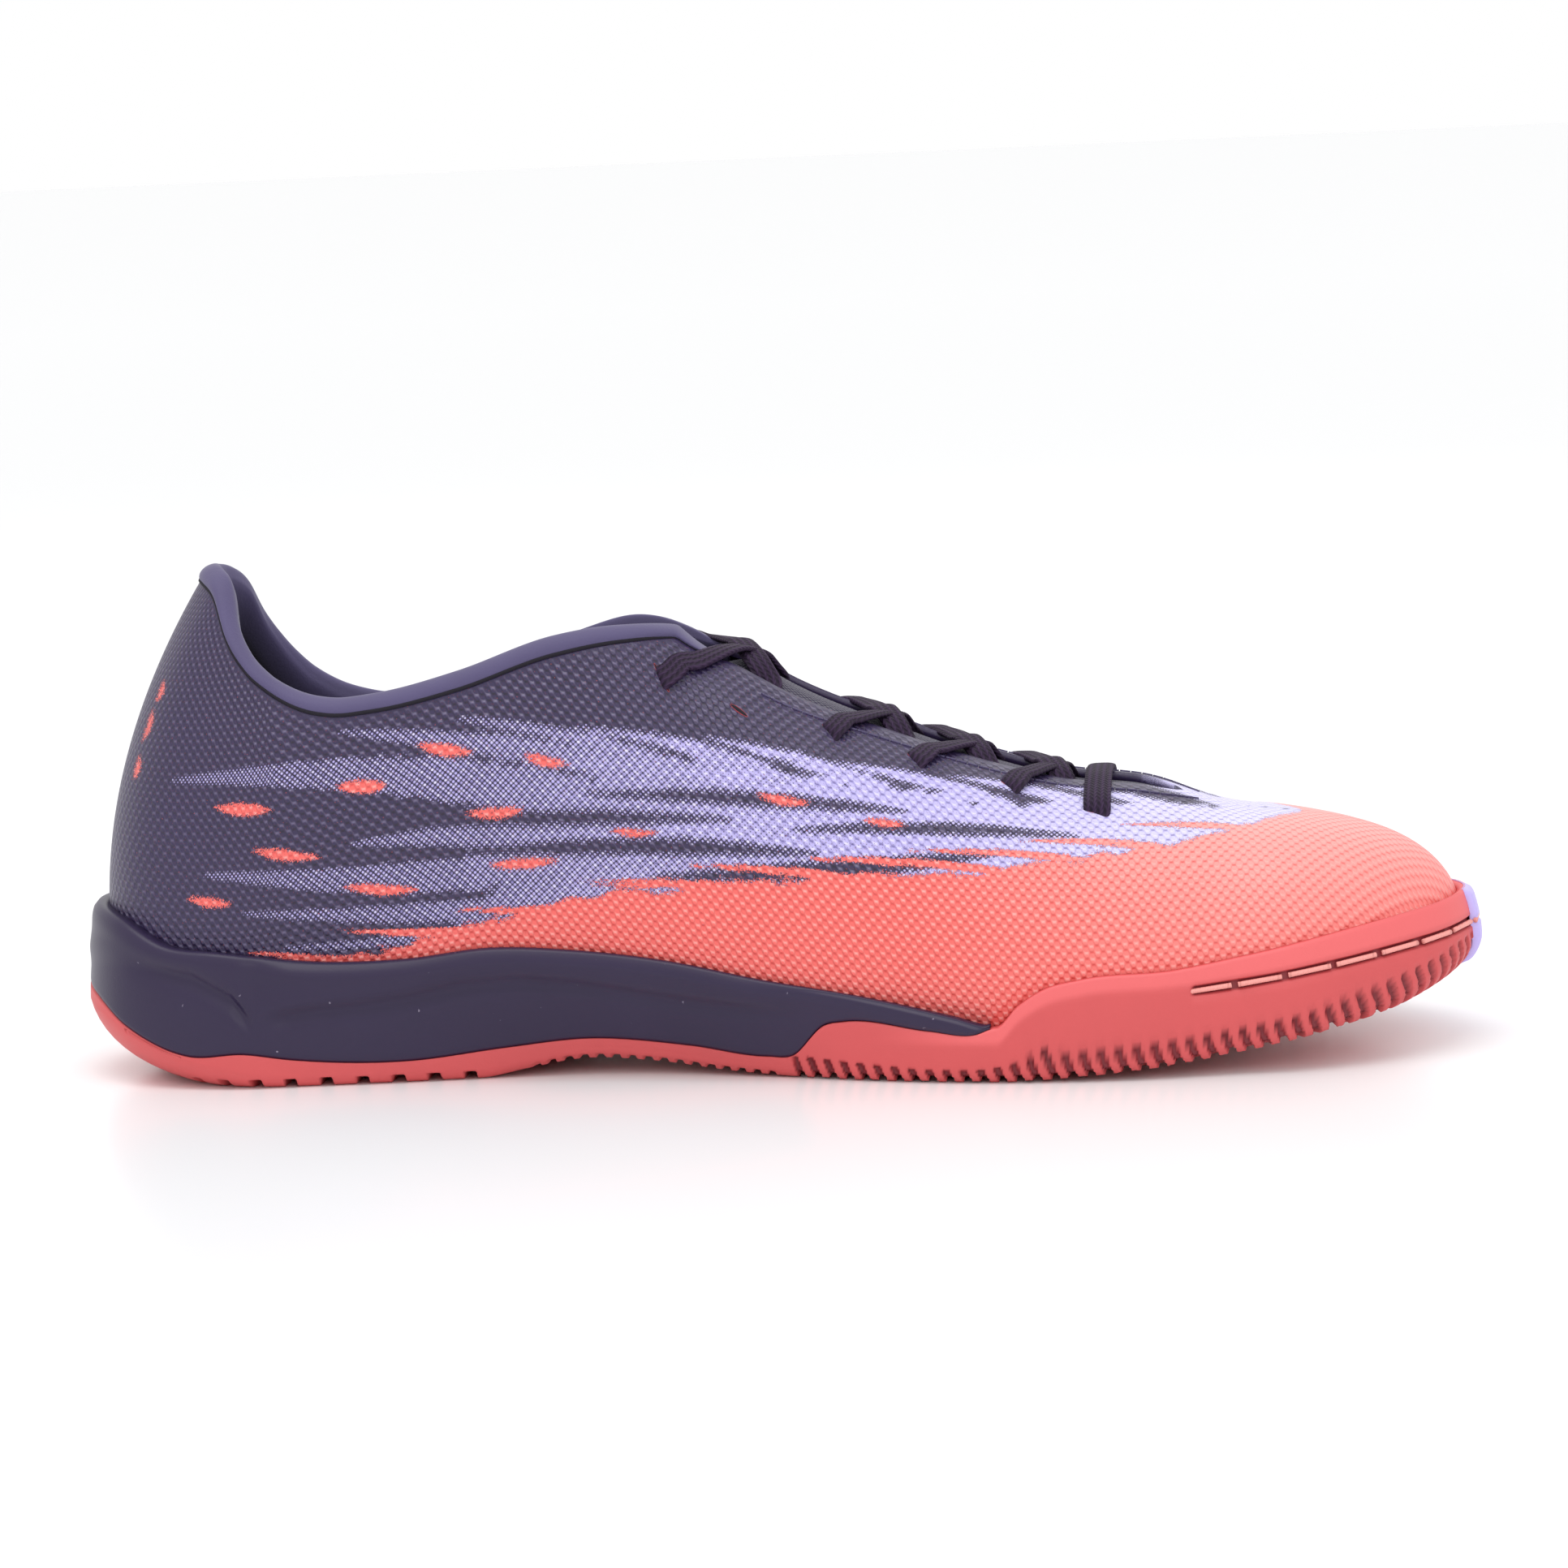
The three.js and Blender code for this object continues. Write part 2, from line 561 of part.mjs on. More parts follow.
function makeInsole() {
  const loop = stationLoop(HALF_STATIONS);
  const ringAt = (lift) => loop.map((spot) => {
    return pointAt(spot, spot.feather - CLEARANCE, spot.floor + lift);
  });
  return stackSolid([ringAt(0), ringAt(INSOLE_THICKNESS)]);
}

// The step at which one section meets the collar line, found by halving
function collarEdge(spot, line) {
  let low = 1;
  let high = stepAtHeight(spot, TRIM_HEIGHT);
  for (let i = 0; i < 30; i += 1) {
    const middle = (low + high) / 2;
    const here = skinAt(spot, middle);
    if (here.height < line(spot.x + spot.outX * here.reach)) {
      low = middle;
    } else {
      high = middle;
    }
  }
  return low;
}

function makeLining() {
  const front = COLLAR_FRONT * SHOE_LENGTH;
  const medialLine = lineOf(MEDIAL_COLLAR_LINE, HEEL_HEIGHT);
  const lateralLine = lineOf(LATERAL_COLLAR_LINE, HEEL_HEIGHT);
  const depthLine = lineOf([[0, 1], [0.34, 1], [0.41, 0.35], [0.427, 0.2]], LINING_DEPTH);
  const padLine = lineOf([[0, 1], [0.36, 0.9], [0.41, 0.5], [0.427, 0.35]], LINING_PAD);
  const walk = 2 * (front - ALONG_START);
  const sections = [];
  for (let i = 0; i <= COLLAR_STATIONS; i += 1) {
    const walked = walk * i / COLLAR_STATIONS;
    const side = walked < walk / 2 ? -1 : 1;
    const along = side < 0 ? front - walked : ALONG_START + walked - walk / 2;
    const spot = station(along, side);
    const edgeStep = collarEdge(spot, side < 0 ? medialLine : lateralLine);
    const edge = skinAt(spot, edgeStep);
    const level = edge.reach - skinOffset(spot, edgeStep, -1).reach;
    const depth = depthLine(spot.x);
    const pad = padLine(spot.x);
    sections.push(LINING_SECTION.map(({ lift, wall, pad: share }) => {
      const inset = wall * UPPER_WALL + share * pad;
      if (lift > 0) {
        const lean = ROLL_LEAN * lift * ROLL_HEIGHT;
        return pointAt(spot, edge.reach - inset / level - lean, edge.height + lift * ROLL_HEIGHT);
      }
      const step = stepAtHeight(spot, edge.height + lift * depth);
      const place = skinOffset(spot, step, -inset);
      return pointAt(spot, place.reach, place.height);
    }));
  }
  return sweepSolid(sections);
}

// Sole
function soleSection(spot, grow) {
  const run = SOLE_EDGE + spot.roll * HEEL_ROLL;
  const rise = SOLE_EDGE + spot.roll * (SOLE_SIDE_HEIGHT * 0.4);
  const rimX = spot.x + spot.outX * spot.sole;
  const ground = groundHeight(spot.x + spot.outX * (spot.sole - run));
  const groundRim = groundHeight(rimX);
  const points = [];
  [0, 30, 60, 90].forEach((degrees) => {
    const angle = THREE.MathUtils.degToRad(degrees);
    const share = degrees / 90;
    const round = { out: Math.sin(angle), up: 1 - Math.cos(angle) };
    const out = THREE.MathUtils.lerp(share, round.out, EDGE_ROUNDNESS);
    const up = THREE.MathUtils.lerp(share, round.up, EDGE_ROUNDNESS);
    const base = ground + (groundRim - ground) * share;
    points.push({ reach: spot.sole - run + run * out, height: base + rise * up });
  });
  const cap = soleCap(rimX);
  const top = skinOffset(spot, stepAtHeight(spot, cap), SOLE_LIP);
  const edge = points[3];
  points.push({
    reach: (edge.reach + top.reach) / 2 + WALL_BULGE,
    height: (edge.height + cap) / 2,
  });
  points.push({ reach: top.reach, height: cap });
  return points.map((point, i) => {
    const before = points[Math.max(i - 1, 0)];
    const after = points[Math.min(i + 1, points.length - 1)];
    const outward = i === 0 ? 0 : after.height - before.height;
    const upward = i === 0 ? -1 : before.reach - after.reach;
    const size = Math.hypot(outward, upward);
    return { reach: point.reach + grow * outward / size, height: point.height + grow * upward / size };
  });
}

function soleForm(grow) {
  const loop = stationLoop(HALF_STATIONS);
  const sections = loop.map((spot) => soleSection(spot, grow));
  const rings = sections[0].map((point, level) => loop.map((spot, i) => {
    const { reach, height } = sections[i][level];
    return pointAt(spot, reach, height);
  }));
  return stackSolid(rings);
}

// Everything above the top edge of the midsole and the rand
function soleTopCutter() {
  const midsoleTop = linePoints(MIDSOLE_TOP_LINE, SOLE_SIDE_HEIGHT, 6);
  const randTop = linePoints(RAND_TOP_LINE, SOLE_SIDE_HEIGHT, 6);
  const line = midsoleTop.concat(randTop.slice(1));
  return sideBlock([...line, [line[line.length - 1][0], FAR], [line[0][0], FAR]], -FAR, FAR);
}

// Everything below the colour split, and all of the forefoot
function outsoleSpace(grow) {
  const line = linePoints(COLOUR_SPLIT_LINE, SOLE_SIDE_HEIGHT, 3).map(([x, z]) => [x, z + grow]);
  const stepX = line[line.length - 1][0] - grow;
  line[line.length - 1][0] = stepX;
  const outline = [...line, [stepX, FAR], [FAR * 2, FAR], [FAR * 2, -FAR], [line[0][0], -FAR]];
  return sideBlock(outline.reverse(), -FAR, FAR);
}

// The sector round the toe that the guard covers
function guardSector(margin) {
  const centre = { x: TOE_CENTRE, y: spineY(TOE_CENTRE) };
  const medial = THREE.MathUtils.degToRad(GUARD_MEDIAL_TURN - 90);
  const lateral = THREE.MathUtils.degToRad(90 - GUARD_LATERAL_TURN);
  const inner = GUARD_INNER_REACH;
  const spread = margin / inner;
  const outline = [];
  const steps = 8;
  for (let i = 0; i <= steps; i += 1) {
    const angle = medial - spread + (lateral - medial + 2 * spread) * i / steps;
    outline.push([centre.x + BALL_WIDTH * Math.cos(angle), centre.y + BALL_WIDTH * Math.sin(angle)]);
  }
  for (let i = steps; i >= 0; i -= 1) {
    const angle = medial - spread + (lateral - medial + 2 * spread) * i / steps;
    const reach = inner - margin;
    outline.push([centre.x + reach * Math.cos(angle), centre.y + reach * Math.sin(angle)]);
  }
  return planBlock(outline, -FAR, FAR);
}

// A small block stood on the rim of the sole at one station
function rimBlock(spot, width, reachFrom, reachTo, zFrom, zTo, slant) {
  const block = new THREE.BoxGeometry(width, reachTo - reachFrom, zTo - zFrom);
  block.rotateY(slant);
  block.rotateZ(Math.atan2(-spot.outX, spot.outY));
  const middle = pointAt(spot, (reachFrom + reachTo) / 2, (zFrom + zTo) / 2);
  block.translate(middle.x, middle.y, middle.z);
  return solidOf(block);
}

// Stations a pitch apart along the rim of the sole
function rimWalk(side, fromAlong, toAlong, pitch) {
  const places = [];
  let walked = pitch;
  let before = null;
  for (let along = fromAlong; along <= toAlong; along += 0.25) {
    const spot = station(along, side);
    const here = pointAt(spot, spot.sole, 0);
    walked += before ? here.distanceTo(before) : 0;
    before = here;
    if (walked >= pitch) {
      places.push(spot);
      walked -= pitch;
    }
  }
  return places;
}

function ribCuts() {
  const start = RIB_START * SHOE_LENGTH;
  const sides = [[-1, GUARD_MEDIAL_TURN], [1, GUARD_LATERAL_TURN]];
  return sides.flatMap(([side, guardTurn]) => {
    const end = TOE_CENTRE + TURN_RADIUS * THREE.MathUtils.degToRad(guardTurn) - RIB_PITCH;
    return rimWalk(side, start, end, RIB_PITCH).map((spot) => {
      const rimX = spot.x + spot.outX * spot.sole;
      const ground = groundHeight(rimX);
      const slant = -side * THREE.MathUtils.degToRad(RIB_SLANT);
      return rimBlock(spot, RIB_GROOVE, spot.sole - RIB_DEPTH, spot.sole + 4 * RIB_DEPTH,
        ground - RIB_DEPTH, ground + RIB_HEIGHT, slant);
    });
  });
}

function notchCuts() {
  return [-1, 1].flatMap((side) => {
    return rimWalk(side, ALONG_START + NOTCH_PITCH / 2, NOTCH_END * SHOE_LENGTH, NOTCH_PITCH).map((spot) => {
      const inner = spot.sole - spot.roll * HEEL_ROLL - NOTCH_LENGTH;
      return rimBlock(spot, NOTCH_WIDTH, inner, spot.sole + NOTCH_WIDTH, -NOTCH_HEIGHT, NOTCH_HEIGHT, 0);
    });
  });
}

function lugCuts() {
  const cuts = [];
  for (let x = LUG_START * SHOE_LENGTH; x < LUG_END * SHOE_LENGTH; x += LUG_PITCH) {
    const block = new THREE.BoxGeometry(LUG_GROOVE, BALL_WIDTH * 2, LUG_DEPTH * 2);
    block.translate(x, 0, groundHeight(x));
    cuts.push(solidOf(block));
  }
  return cuts;
}

function joined(solids) {
  return solids.reduce((whole, piece) => whole.add(piece));
}

function makeSole() {
  const cup = soleForm(0).subtract(lastForm(CLEARANCE, false)).subtract(soleTopCutter());
  const ground = cup.intersect(outsoleSpace(0));
  const midsole = cup.subtract(outsoleSpace(CLEARANCE));
  const guardBody = soleForm(GUARD_PROUD).subtract(soleForm(-GUARD_SEAT)).intersect(guardSector(0));
  const guard = guardBody.subtract(soleTopCutter()).subtract(lastForm(CLEARANCE, false));
  const seat = guardSector(CLEARANCE).subtract(soleForm(-GUARD_SEAT - CLEARANCE));
  const cuts = joined([...ribCuts(), ...notchCuts(), ...lugCuts()]);
  const outsole = ground.subtract(seat).subtract(cuts);
  return { outsole, midsole, guard };
}

// Lace: flat strips laid over the throat, from a point near one eyelet to the far edge
function skinPoint(x, y, lift, crown) {
  const side = y < spineY(x) ? -1 : 1;
  const spot = station(x, side);
  spot.crown = crown ?? spot.crown;
  const reach = Math.min(Math.abs(y - spineY(x)), spot.upper);
  const step = 1 + Math.acos((reach / spot.upper) ** (spot.bow / 2)) / (Math.PI / 2);
  const place = skinOffset(spot, step, lift);
  return pointAt(spot, place.reach, place.height);
}

// The strip rises by the hump where it passes over another, most of the way along
function laceStrip(from, to, hump) {
  const steps = 9;
  const direction = new THREE.Vector2(to[0] - from[0], to[1] - from[1]).normalize();
  const across = new THREE.Vector2(-direction.y, direction.x).multiplyScalar(LACE_WIDTH / 2);
  const sections = [];
  for (let i = 0; i <= steps; i += 1) {
    const x = from[0] + (to[0] - from[0]) * i / steps;
    const y = from[1] + (to[1] - from[1]) * i / steps;
    const climb = Math.exp(-(((i / steps - HUMP_PLACE) / HUMP_SPREAD) ** 2));
    const lift = LACE_LIFT + hump * climb;
    const row = [-1, 1].map((edge) => [x + edge * across.x, y + edge * across.y]);
    const under = row.map(([px, py]) => skinPoint(px, py, lift, null));
    const over = row.reverse().map(([px, py]) => skinPoint(px, py, lift + LACE_THICKNESS, null));
    sections.push([...under, ...over]);
  }
  return sweepSolid(sections);
}

function makeCross([at, spread, forward]) {
  const x = at * SHOE_LENGTH;
  const y = spineY(x);
  const reach = spread * BALL_WIDTH - LACE_WIDTH / 3;
  const farX = x + forward * SHOE_LENGTH;
  const one = laceStrip([x, y - reach], [farX, y + LACE_TUCK], LACE_HUMP);
  const other = laceStrip([x, y + reach], [farX, y - LACE_TUCK], 0);
  return one.add(other);
}

function makeBar() {
  const x = LOWEST_EYELET[0] * SHOE_LENGTH;
  const reach = LOWEST_EYELET[1] * BALL_WIDTH;
  return laceStrip([x, spineY(x) - reach], [x, spineY(x) + reach], 0);
}

// Scene graph
function meshOf(name, solid, colour, roughness) {
  const { vertProperties, triVerts } = solid.getMesh();
  const geometry = geometryFrom(Array.from(vertProperties), Array.from(triVerts));
  geometry.computeVertexNormals();
  const material = new THREE.MeshStandardMaterial({ color: colour, roughness, metalness: 0 });
  const mesh = new THREE.Mesh(geometry, material);
  mesh.name = name;
  return mesh;
}

function makeShoe() {
  const shoe = new THREE.Group();
  const sole = makeSole();
  shoe.add(meshOf('outsole', sole.outsole, 0xe2585c, 0.6));
  shoe.add(meshOf('midsole', sole.midsole, 0x3d3350, 0.45));
  shoe.add(meshOf('toe_guard', sole.guard, 0xc4b5f2, 0.5));
  shoe.add(meshOf('upper', makeUpper(), 0x3a3050, 0.55));
  shoe.add(meshOf('collar_lining', makeLining(), 0x5b5378, 0.8));
  shoe.add(meshOf('tongue', makeTongue(), 0x453a5c, 0.85));
  shoe.add(meshOf('insole', makeInsole(), 0x2c2638, 0.9));
  shoe.add(meshOf('lace_bar', makeBar(), 0x4a3450, 0.85));
  LACED_EYELETS.forEach((eyelet, i) => {
    shoe.add(meshOf(`lace_cross_${i + 1}`, makeCross(eyelet), 0x4a3450, 0.85));
  });
  const box = new THREE.Box3().setFromObject(shoe);
  const middle = box.getCenter(new THREE.Vector3());
  shoe.position.set(-middle.x, -middle.y, -box.min.z);
  return shoe;
}

export default makeShoe();
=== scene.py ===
import math

import bmesh
import bpy
import numpy as np
from mathutils import Matrix, Vector


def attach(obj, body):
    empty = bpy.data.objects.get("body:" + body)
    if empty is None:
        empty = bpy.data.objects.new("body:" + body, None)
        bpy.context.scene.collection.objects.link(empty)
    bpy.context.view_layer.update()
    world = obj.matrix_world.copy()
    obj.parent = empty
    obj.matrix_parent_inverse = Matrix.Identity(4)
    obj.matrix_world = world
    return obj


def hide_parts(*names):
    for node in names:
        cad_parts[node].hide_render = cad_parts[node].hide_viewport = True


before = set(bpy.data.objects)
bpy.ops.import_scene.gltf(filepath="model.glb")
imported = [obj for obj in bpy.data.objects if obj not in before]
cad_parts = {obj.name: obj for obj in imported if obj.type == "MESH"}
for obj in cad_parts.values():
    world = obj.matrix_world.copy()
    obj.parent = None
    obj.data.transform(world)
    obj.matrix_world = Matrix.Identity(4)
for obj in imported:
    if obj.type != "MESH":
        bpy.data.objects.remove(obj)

bl_info = {
    "name": "Indoor soccer shoe",
    "version": (1, 0, 0),
    "blender": (4, 5, 0),
    "location": "3D View > Sidebar > Shoe",
    "description": "Dresses the left indoor soccer shoe: printed upper, padded collar, lace, stitches and sole",
    "category": "Object",
}

# Every length below is in millimetres along the last: x from the heel's back to the toe, y outward, z up.
MM = 0.001
MIDDLE_X = 144.0417
MIDDLE_Y = 2.0164

# Main sizes
SHOE_LENGTH = 288
BALL_WIDTH = 98
HEEL_WIDTH = 66
HEEL_HEIGHT = 104
INSTEP_HEIGHT = 80
TOE_HEIGHT = 48.2
TOE_SWING = 6
UPPER_WALL = 2
FEATHER_INSET = 5
TOE_SLOPE = 0.11
THROAT_HALF_WIDTH = 10
HEEL_STACK = 15
BALL_STACK = 7.5
TOE_SPRING = 16
ARCH_RISE = 3.3
SOLE_SIDE_HEIGHT = 34
SOLE_EDGE = 2.5
HEEL_ROLL = 18.5
EDGE_ROUNDNESS = 0.8
SOLE_LIP = 1.8
WALL_BULGE = 0.6
TURN_RADIUS = 40
GUARD_INNER_TURN = 83
GUARD_OUTER_TURN = 44
STITCH_START = 230.5
SLIP = 0.3
UPPER_FOOT = 0.25
COLLAR_FRONT = 136
LINING_DEPTH = 34

# Sections of the last from heel to toe: share of the length, turn in degrees, width, upper reach on the
# inner and outer side, sole reach on both, height, crown, bow, widest place, heel roll
SECTIONS = [
    (0.16, -90, HEEL_WIDTH, 0.621, 0.621, 0.697, 0.697, HEEL_HEIGHT, 1.2, 1, 0.91, 1),
    (0.16, -60, HEEL_WIDTH, 0.586, 0.586, 0.659, 0.659, HEEL_HEIGHT, 1.14, 1.15, 0.91, 0.8),
    (0.16, -30, HEEL_WIDTH, 0.492, 0.495, 0.559, 0.562, HEEL_HEIGHT, 1.06, 1.55, 0.91, 0.25),
    (0.16, 0, HEEL_WIDTH, 0.432, 0.447, 0.492, 0.508, HEEL_HEIGHT, 0.99, 2, 0.94, 0),
    (0.23, 0, HEEL_WIDTH, 0.432, 0.47, 0.458, 0.524, HEEL_HEIGHT, 0.97, 2, 1.06, 0),
    (0.313, 0, HEEL_WIDTH, 0.439, 0.515, 0.405, 0.552, HEEL_HEIGHT, 1, 2.1, 1.18, 0),
    (0.382, 0, HEEL_WIDTH, 0.455, 0.553, 0.386, 0.591, HEEL_HEIGHT, 1, 2.1, 1.12, 0),
    (0.417, 0, BALL_WIDTH, 0.315, 0.382, 0.267, 0.414, HEEL_HEIGHT, 0.93, 2.1, 1.06, 0),
    (0.451, 0, BALL_WIDTH, 0.327, 0.393, 0.28, 0.435, INSTEP_HEIGHT, 1.1, 2.1, 1, 0),
    (0.486, 0, BALL_WIDTH, 0.34, 0.412, 0.304, 0.46, INSTEP_HEIGHT, 1.038, 2.1, 0.94, 0),
    (0.521, 0, BALL_WIDTH, 0.352, 0.429, 0.33, 0.482, INSTEP_HEIGHT, 0.962, 2.1, 0.88, 0),
    (0.59, 0, BALL_WIDTH, 0.372, 0.49, 0.39, 0.529, INSTEP_HEIGHT, 0.85, 2.2, 0.74, 0),
    (0.66, 0, BALL_WIDTH, 0.398, 0.531, 0.424, 0.565, INSTEP_HEIGHT, 0.756, 2.2, 0.65, 0),
    (0.712, 0, BALL_WIDTH, 0.403, 0.536, 0.43, 0.57, INSTEP_HEIGHT, 0.704, 2.2, 0.62, 0),
    (0.764, 0, BALL_WIDTH, 0.391, 0.52, 0.42, 0.554, TOE_HEIGHT, 1.13, 2.2, 0.63, 0),
    (0.84, 0, BALL_WIDTH, 0.347, 0.46, 0.378, 0.494, TOE_HEIGHT, 1, 2.3, 0.65, 0),
    (0.84, 12, BALL_WIDTH, 0.343, 0.45, 0.375, 0.482, TOE_HEIGHT, 1, 2.4, 0.67, 0),
    (0.84, 32, BALL_WIDTH, 0.347, 0.42, 0.38, 0.453, TOE_HEIGHT, 1, 2.6, 0.7, 0.03),
    (0.84, 53, BALL_WIDTH, 0.376, 0.402, 0.411, 0.437, TOE_HEIGHT, 1, 2.9, 0.73, 0.08),
    (0.84, 72, BALL_WIDTH, 0.409, 0.411, 0.441, 0.443, TOE_HEIGHT, 1, 3.2, 0.75, 0.13),
    (0.84, 90, BALL_WIDTH, 0.425, 0.425, 0.457, 0.457, TOE_HEIGHT, 1, 3.5, 0.76, 0.17),
]

# Lines down the side: share of the length, share of the named height
TOE_SPRING_LINE = [(0.66, 0), (0.729, 0.06), (0.785, 0.155), (0.84, 0.3), (0.896, 0.49), (0.938, 0.66),
                   (0.965, 0.82), (1, 1)]
ARCH_LINE = [(0.295, 0), (0.33, 0.5), (0.368, 1), (0.417, 0.85), (0.472, 0.3), (0.556, 0)]
STACK_LINE = [(0, 1), (0.21, 1), (0.35, 0.6), (0.47, 0.3), (0.6, 0.07), (0.7, 0), (1, -0.1)]
MIDSOLE_TOP_LINE = [(-0.05, 1.05), (0.03, 1), (0.073, 0.85), (0.11, 0.82), (0.194, 0.74), (0.25, 0.75),
                    (0.31, 0.805), (0.37, 0.78), (0.434, 0.715), (0.503, 0.6), (0.57, 0.505),
                    (0.635, 0.385), (0.664, 0.325)]
RAND_TOP_LINE = [(0.664, 0.325), (0.68, 0.45), (0.698, 0.545), (0.722, 0.595), (0.788, 0.63),
                 (0.844, 0.705), (0.899, 0.79), (0.955, 0.868), (1.05, 0.94)]
SOLE_CAP_LINE = [(0, 1.09), (0.031, 1.06), (0.1, 0.88), (0.194, 0.79), (0.337, 0.84), (0.434, 0.76),
                 (0.535, 0.64), (0.608, 0.58), (0.7, 0.605), (0.788, 0.67), (0.872, 0.79), (0.955, 0.91),
                 (1, 0.96)]
COLOUR_SPLIT_LINE = [(-0.05, 0.55), (0.014, 0.51), (0.042, 0.36), (0.09, 0.2), (0.132, 0.21),
                     (0.167, 0.165), (0.25, 0.135), (0.316, 0.19), (0.375, 0.23), (0.448, 0.185),
                     (0.503, 0.13), (0.521, 0.14), (0.545, 0.335), (0.559, 0.36), (0.618, 0.31),
                     (0.65, 0.29), (0.664, 0.325)]
INNER_COLLAR_LINE = [(-0.05, 0.976), (0.09, 0.976), (0.104, 0.967), (0.115, 0.94), (0.125, 0.87),
                     (0.139, 0.81), (0.156, 0.767), (0.177, 0.734), (0.201, 0.719), (0.229, 0.724),
                     (0.292, 0.761), (0.361, 0.822), (0.406, 0.841), (0.444, 0.838), (0.476, 0.813),
                     (0.49, 0.795)]
OUTER_COLLAR_LINE = [(-0.05, 0.976), (0.09, 0.976), (0.104, 0.962), (0.115, 0.93), (0.125, 0.868),
                     (0.139, 0.808), (0.156, 0.756), (0.177, 0.714), (0.201, 0.689), (0.229, 0.678),
                     (0.292, 0.712), (0.361, 0.793), (0.406, 0.827), (0.444, 0.815), (0.476, 0.79),
                     (0.49, 0.775)]
THROAT_LINE = [(0.44, 1), (0.5, 1), (0.62, 0.86), (0.72, 0.72), (0.77, 0.62), (0.785, 0.5)]
THROAT_START = 0.44 * SHOE_LENGTH
THROAT_END = 0.789 * SHOE_LENGTH
TONGUE_LINE = [(0.41, 0.7), (0.42, 0.8), (0.465, 1.05), (0.5, 1.3), (0.56, 1.7), (0.7, 1.65), (0.8, 1.4)]
TONGUE_TOP_LINE = [(0.41, 1.07), (0.44, 1.03), (0.465, 1.02), (0.49, 1.03)]

# Eyelets from the collar forward: x, distance from the spine, how far forward the lace dives under
LACED_EYELETS = [(125.6, 19.6, 20.2), (159, 16.7, 13.5), (176, 17.1, 13.5), (194.7, 17.2, 10.4)]
LOWEST_EYELET = (212, 21)
SPARE_EYELET = (141, 20)


def curve_through(knots, values):
    """A smooth curve through a few values, flat beyond its ends."""
    knots = np.array(knots, float)
    values = np.array(values, float)
    slopes = np.zeros(len(knots))
    before = np.diff(knots)[:-1]
    after = np.diff(knots)[1:]
    fall = np.diff(values)[:-1] / before
    rise = np.diff(values)[1:] / after
    slopes[1:-1] = (fall * after + rise * before) / (before + after)

    def at(place):
        place = np.asarray(place, float)
        i = np.clip(np.searchsorted(knots, place) - 1, 0, len(knots) - 2)
        span = knots[i + 1] - knots[i]
        t = np.clip((place - knots[i]) / span, 0, 1)
        return ((2 * t**3 - 3 * t**2 + 1) * values[i] + (t**3 - 2 * t**2 + t) * span * slopes[i]
                + (3 * t**2 - 2 * t**3) * values[i + 1] + (t**3 - t**2) * span * slopes[i + 1])

    return at


def line_of(table, height):
    return curve_through([a * SHOE_LENGTH for a, _ in table], [b * height for _, b in table])


toe_spring = line_of(TOE_SPRING_LINE, TOE_SPRING)
arch_rise = line_of(ARCH_LINE, ARCH_RISE)
stack = line_of(STACK_LINE, HEEL_STACK - BALL_STACK)
sole_cap = line_of(SOLE_CAP_LINE, SOLE_SIDE_HEIGHT)
midsole_top = line_of(MIDSOLE_TOP_LINE, SOLE_SIDE_HEIGHT)
rand_top = line_of(RAND_TOP_LINE, SOLE_SIDE_HEIGHT)
colour_split = line_of(COLOUR_SPLIT_LINE, SOLE_SIDE_HEIGHT)
throat_half = line_of(THROAT_LINE, THROAT_HALF_WIDTH)
inner_collar = line_of(INNER_COLLAR_LINE, HEEL_HEIGHT)
outer_collar = line_of(OUTER_COLLAR_LINE, HEEL_HEIGHT)
MIDSOLE_END = MIDSOLE_TOP_LINE[-1][0] * SHOE_LENGTH


def ground_height(x):
    return toe_spring(x) + arch_rise(x)


def floor_height(x):
    return ground_height(x) + BALL_STACK + stack(x)


HEEL_CENTRE = SECTIONS[0][0] * SHOE_LENGTH
TOE_CENTRE = SECTIONS[-1][0] * SHOE_LENGTH


def spine_y(x):
    return -TOE_SWING * np.clip((x - HEEL_CENTRE) / (TOE_CENTRE - HEEL_CENTRE), 0, 1)


KNOTS = np.array([row[0] * SHOE_LENGTH + TURN_RADIUS * math.radians(row[1]) for row in SECTIONS])
ALONG_START = KNOTS[0]
HALF_ROUND = KNOTS[-1] - KNOTS[0]


def loop_column(inner, outer):
    """One column of the sections, smooth round the whole loop: heel, inner side, toe, outer side."""
    walked = KNOTS - ALONG_START
    knots = np.concatenate([walked, 2 * HALF_ROUND - walked[::-1][1:]])
    values = np.concatenate([inner, outer[::-1][1:]])
    knots = np.concatenate([knots[-4:-1] - 2 * HALF_ROUND, knots, knots[1:4] + 2 * HALF_ROUND])
    values = np.concatenate([values[-4:-1], values, values[1:4]])
    return curve_through(knots, values)


def column_pair(inner, outer):
    return loop_column(np.array([inner(row) for row in SECTIONS]), np.array([outer(row) for row in SECTIONS]))


COLUMNS = {
    "upper": column_pair(lambda r: r[3] * r[2], lambda r: r[4] * r[2]),
    "sole": column_pair(lambda r: r[5] * r[2], lambda r: r[6] * r[2]),
    "crown": column_pair(lambda r: r[8] * r[7], lambda r: r[8] * r[7]),
    "bow": column_pair(lambda r: r[9], lambda r: r[9]),
    "widest": column_pair(lambda r: r[10] * SOLE_SIDE_HEIGHT, lambda r: r[10] * SOLE_SIDE_HEIGHT),
    "roll": column_pair(lambda r: r[11], lambda r: r[11]),
}


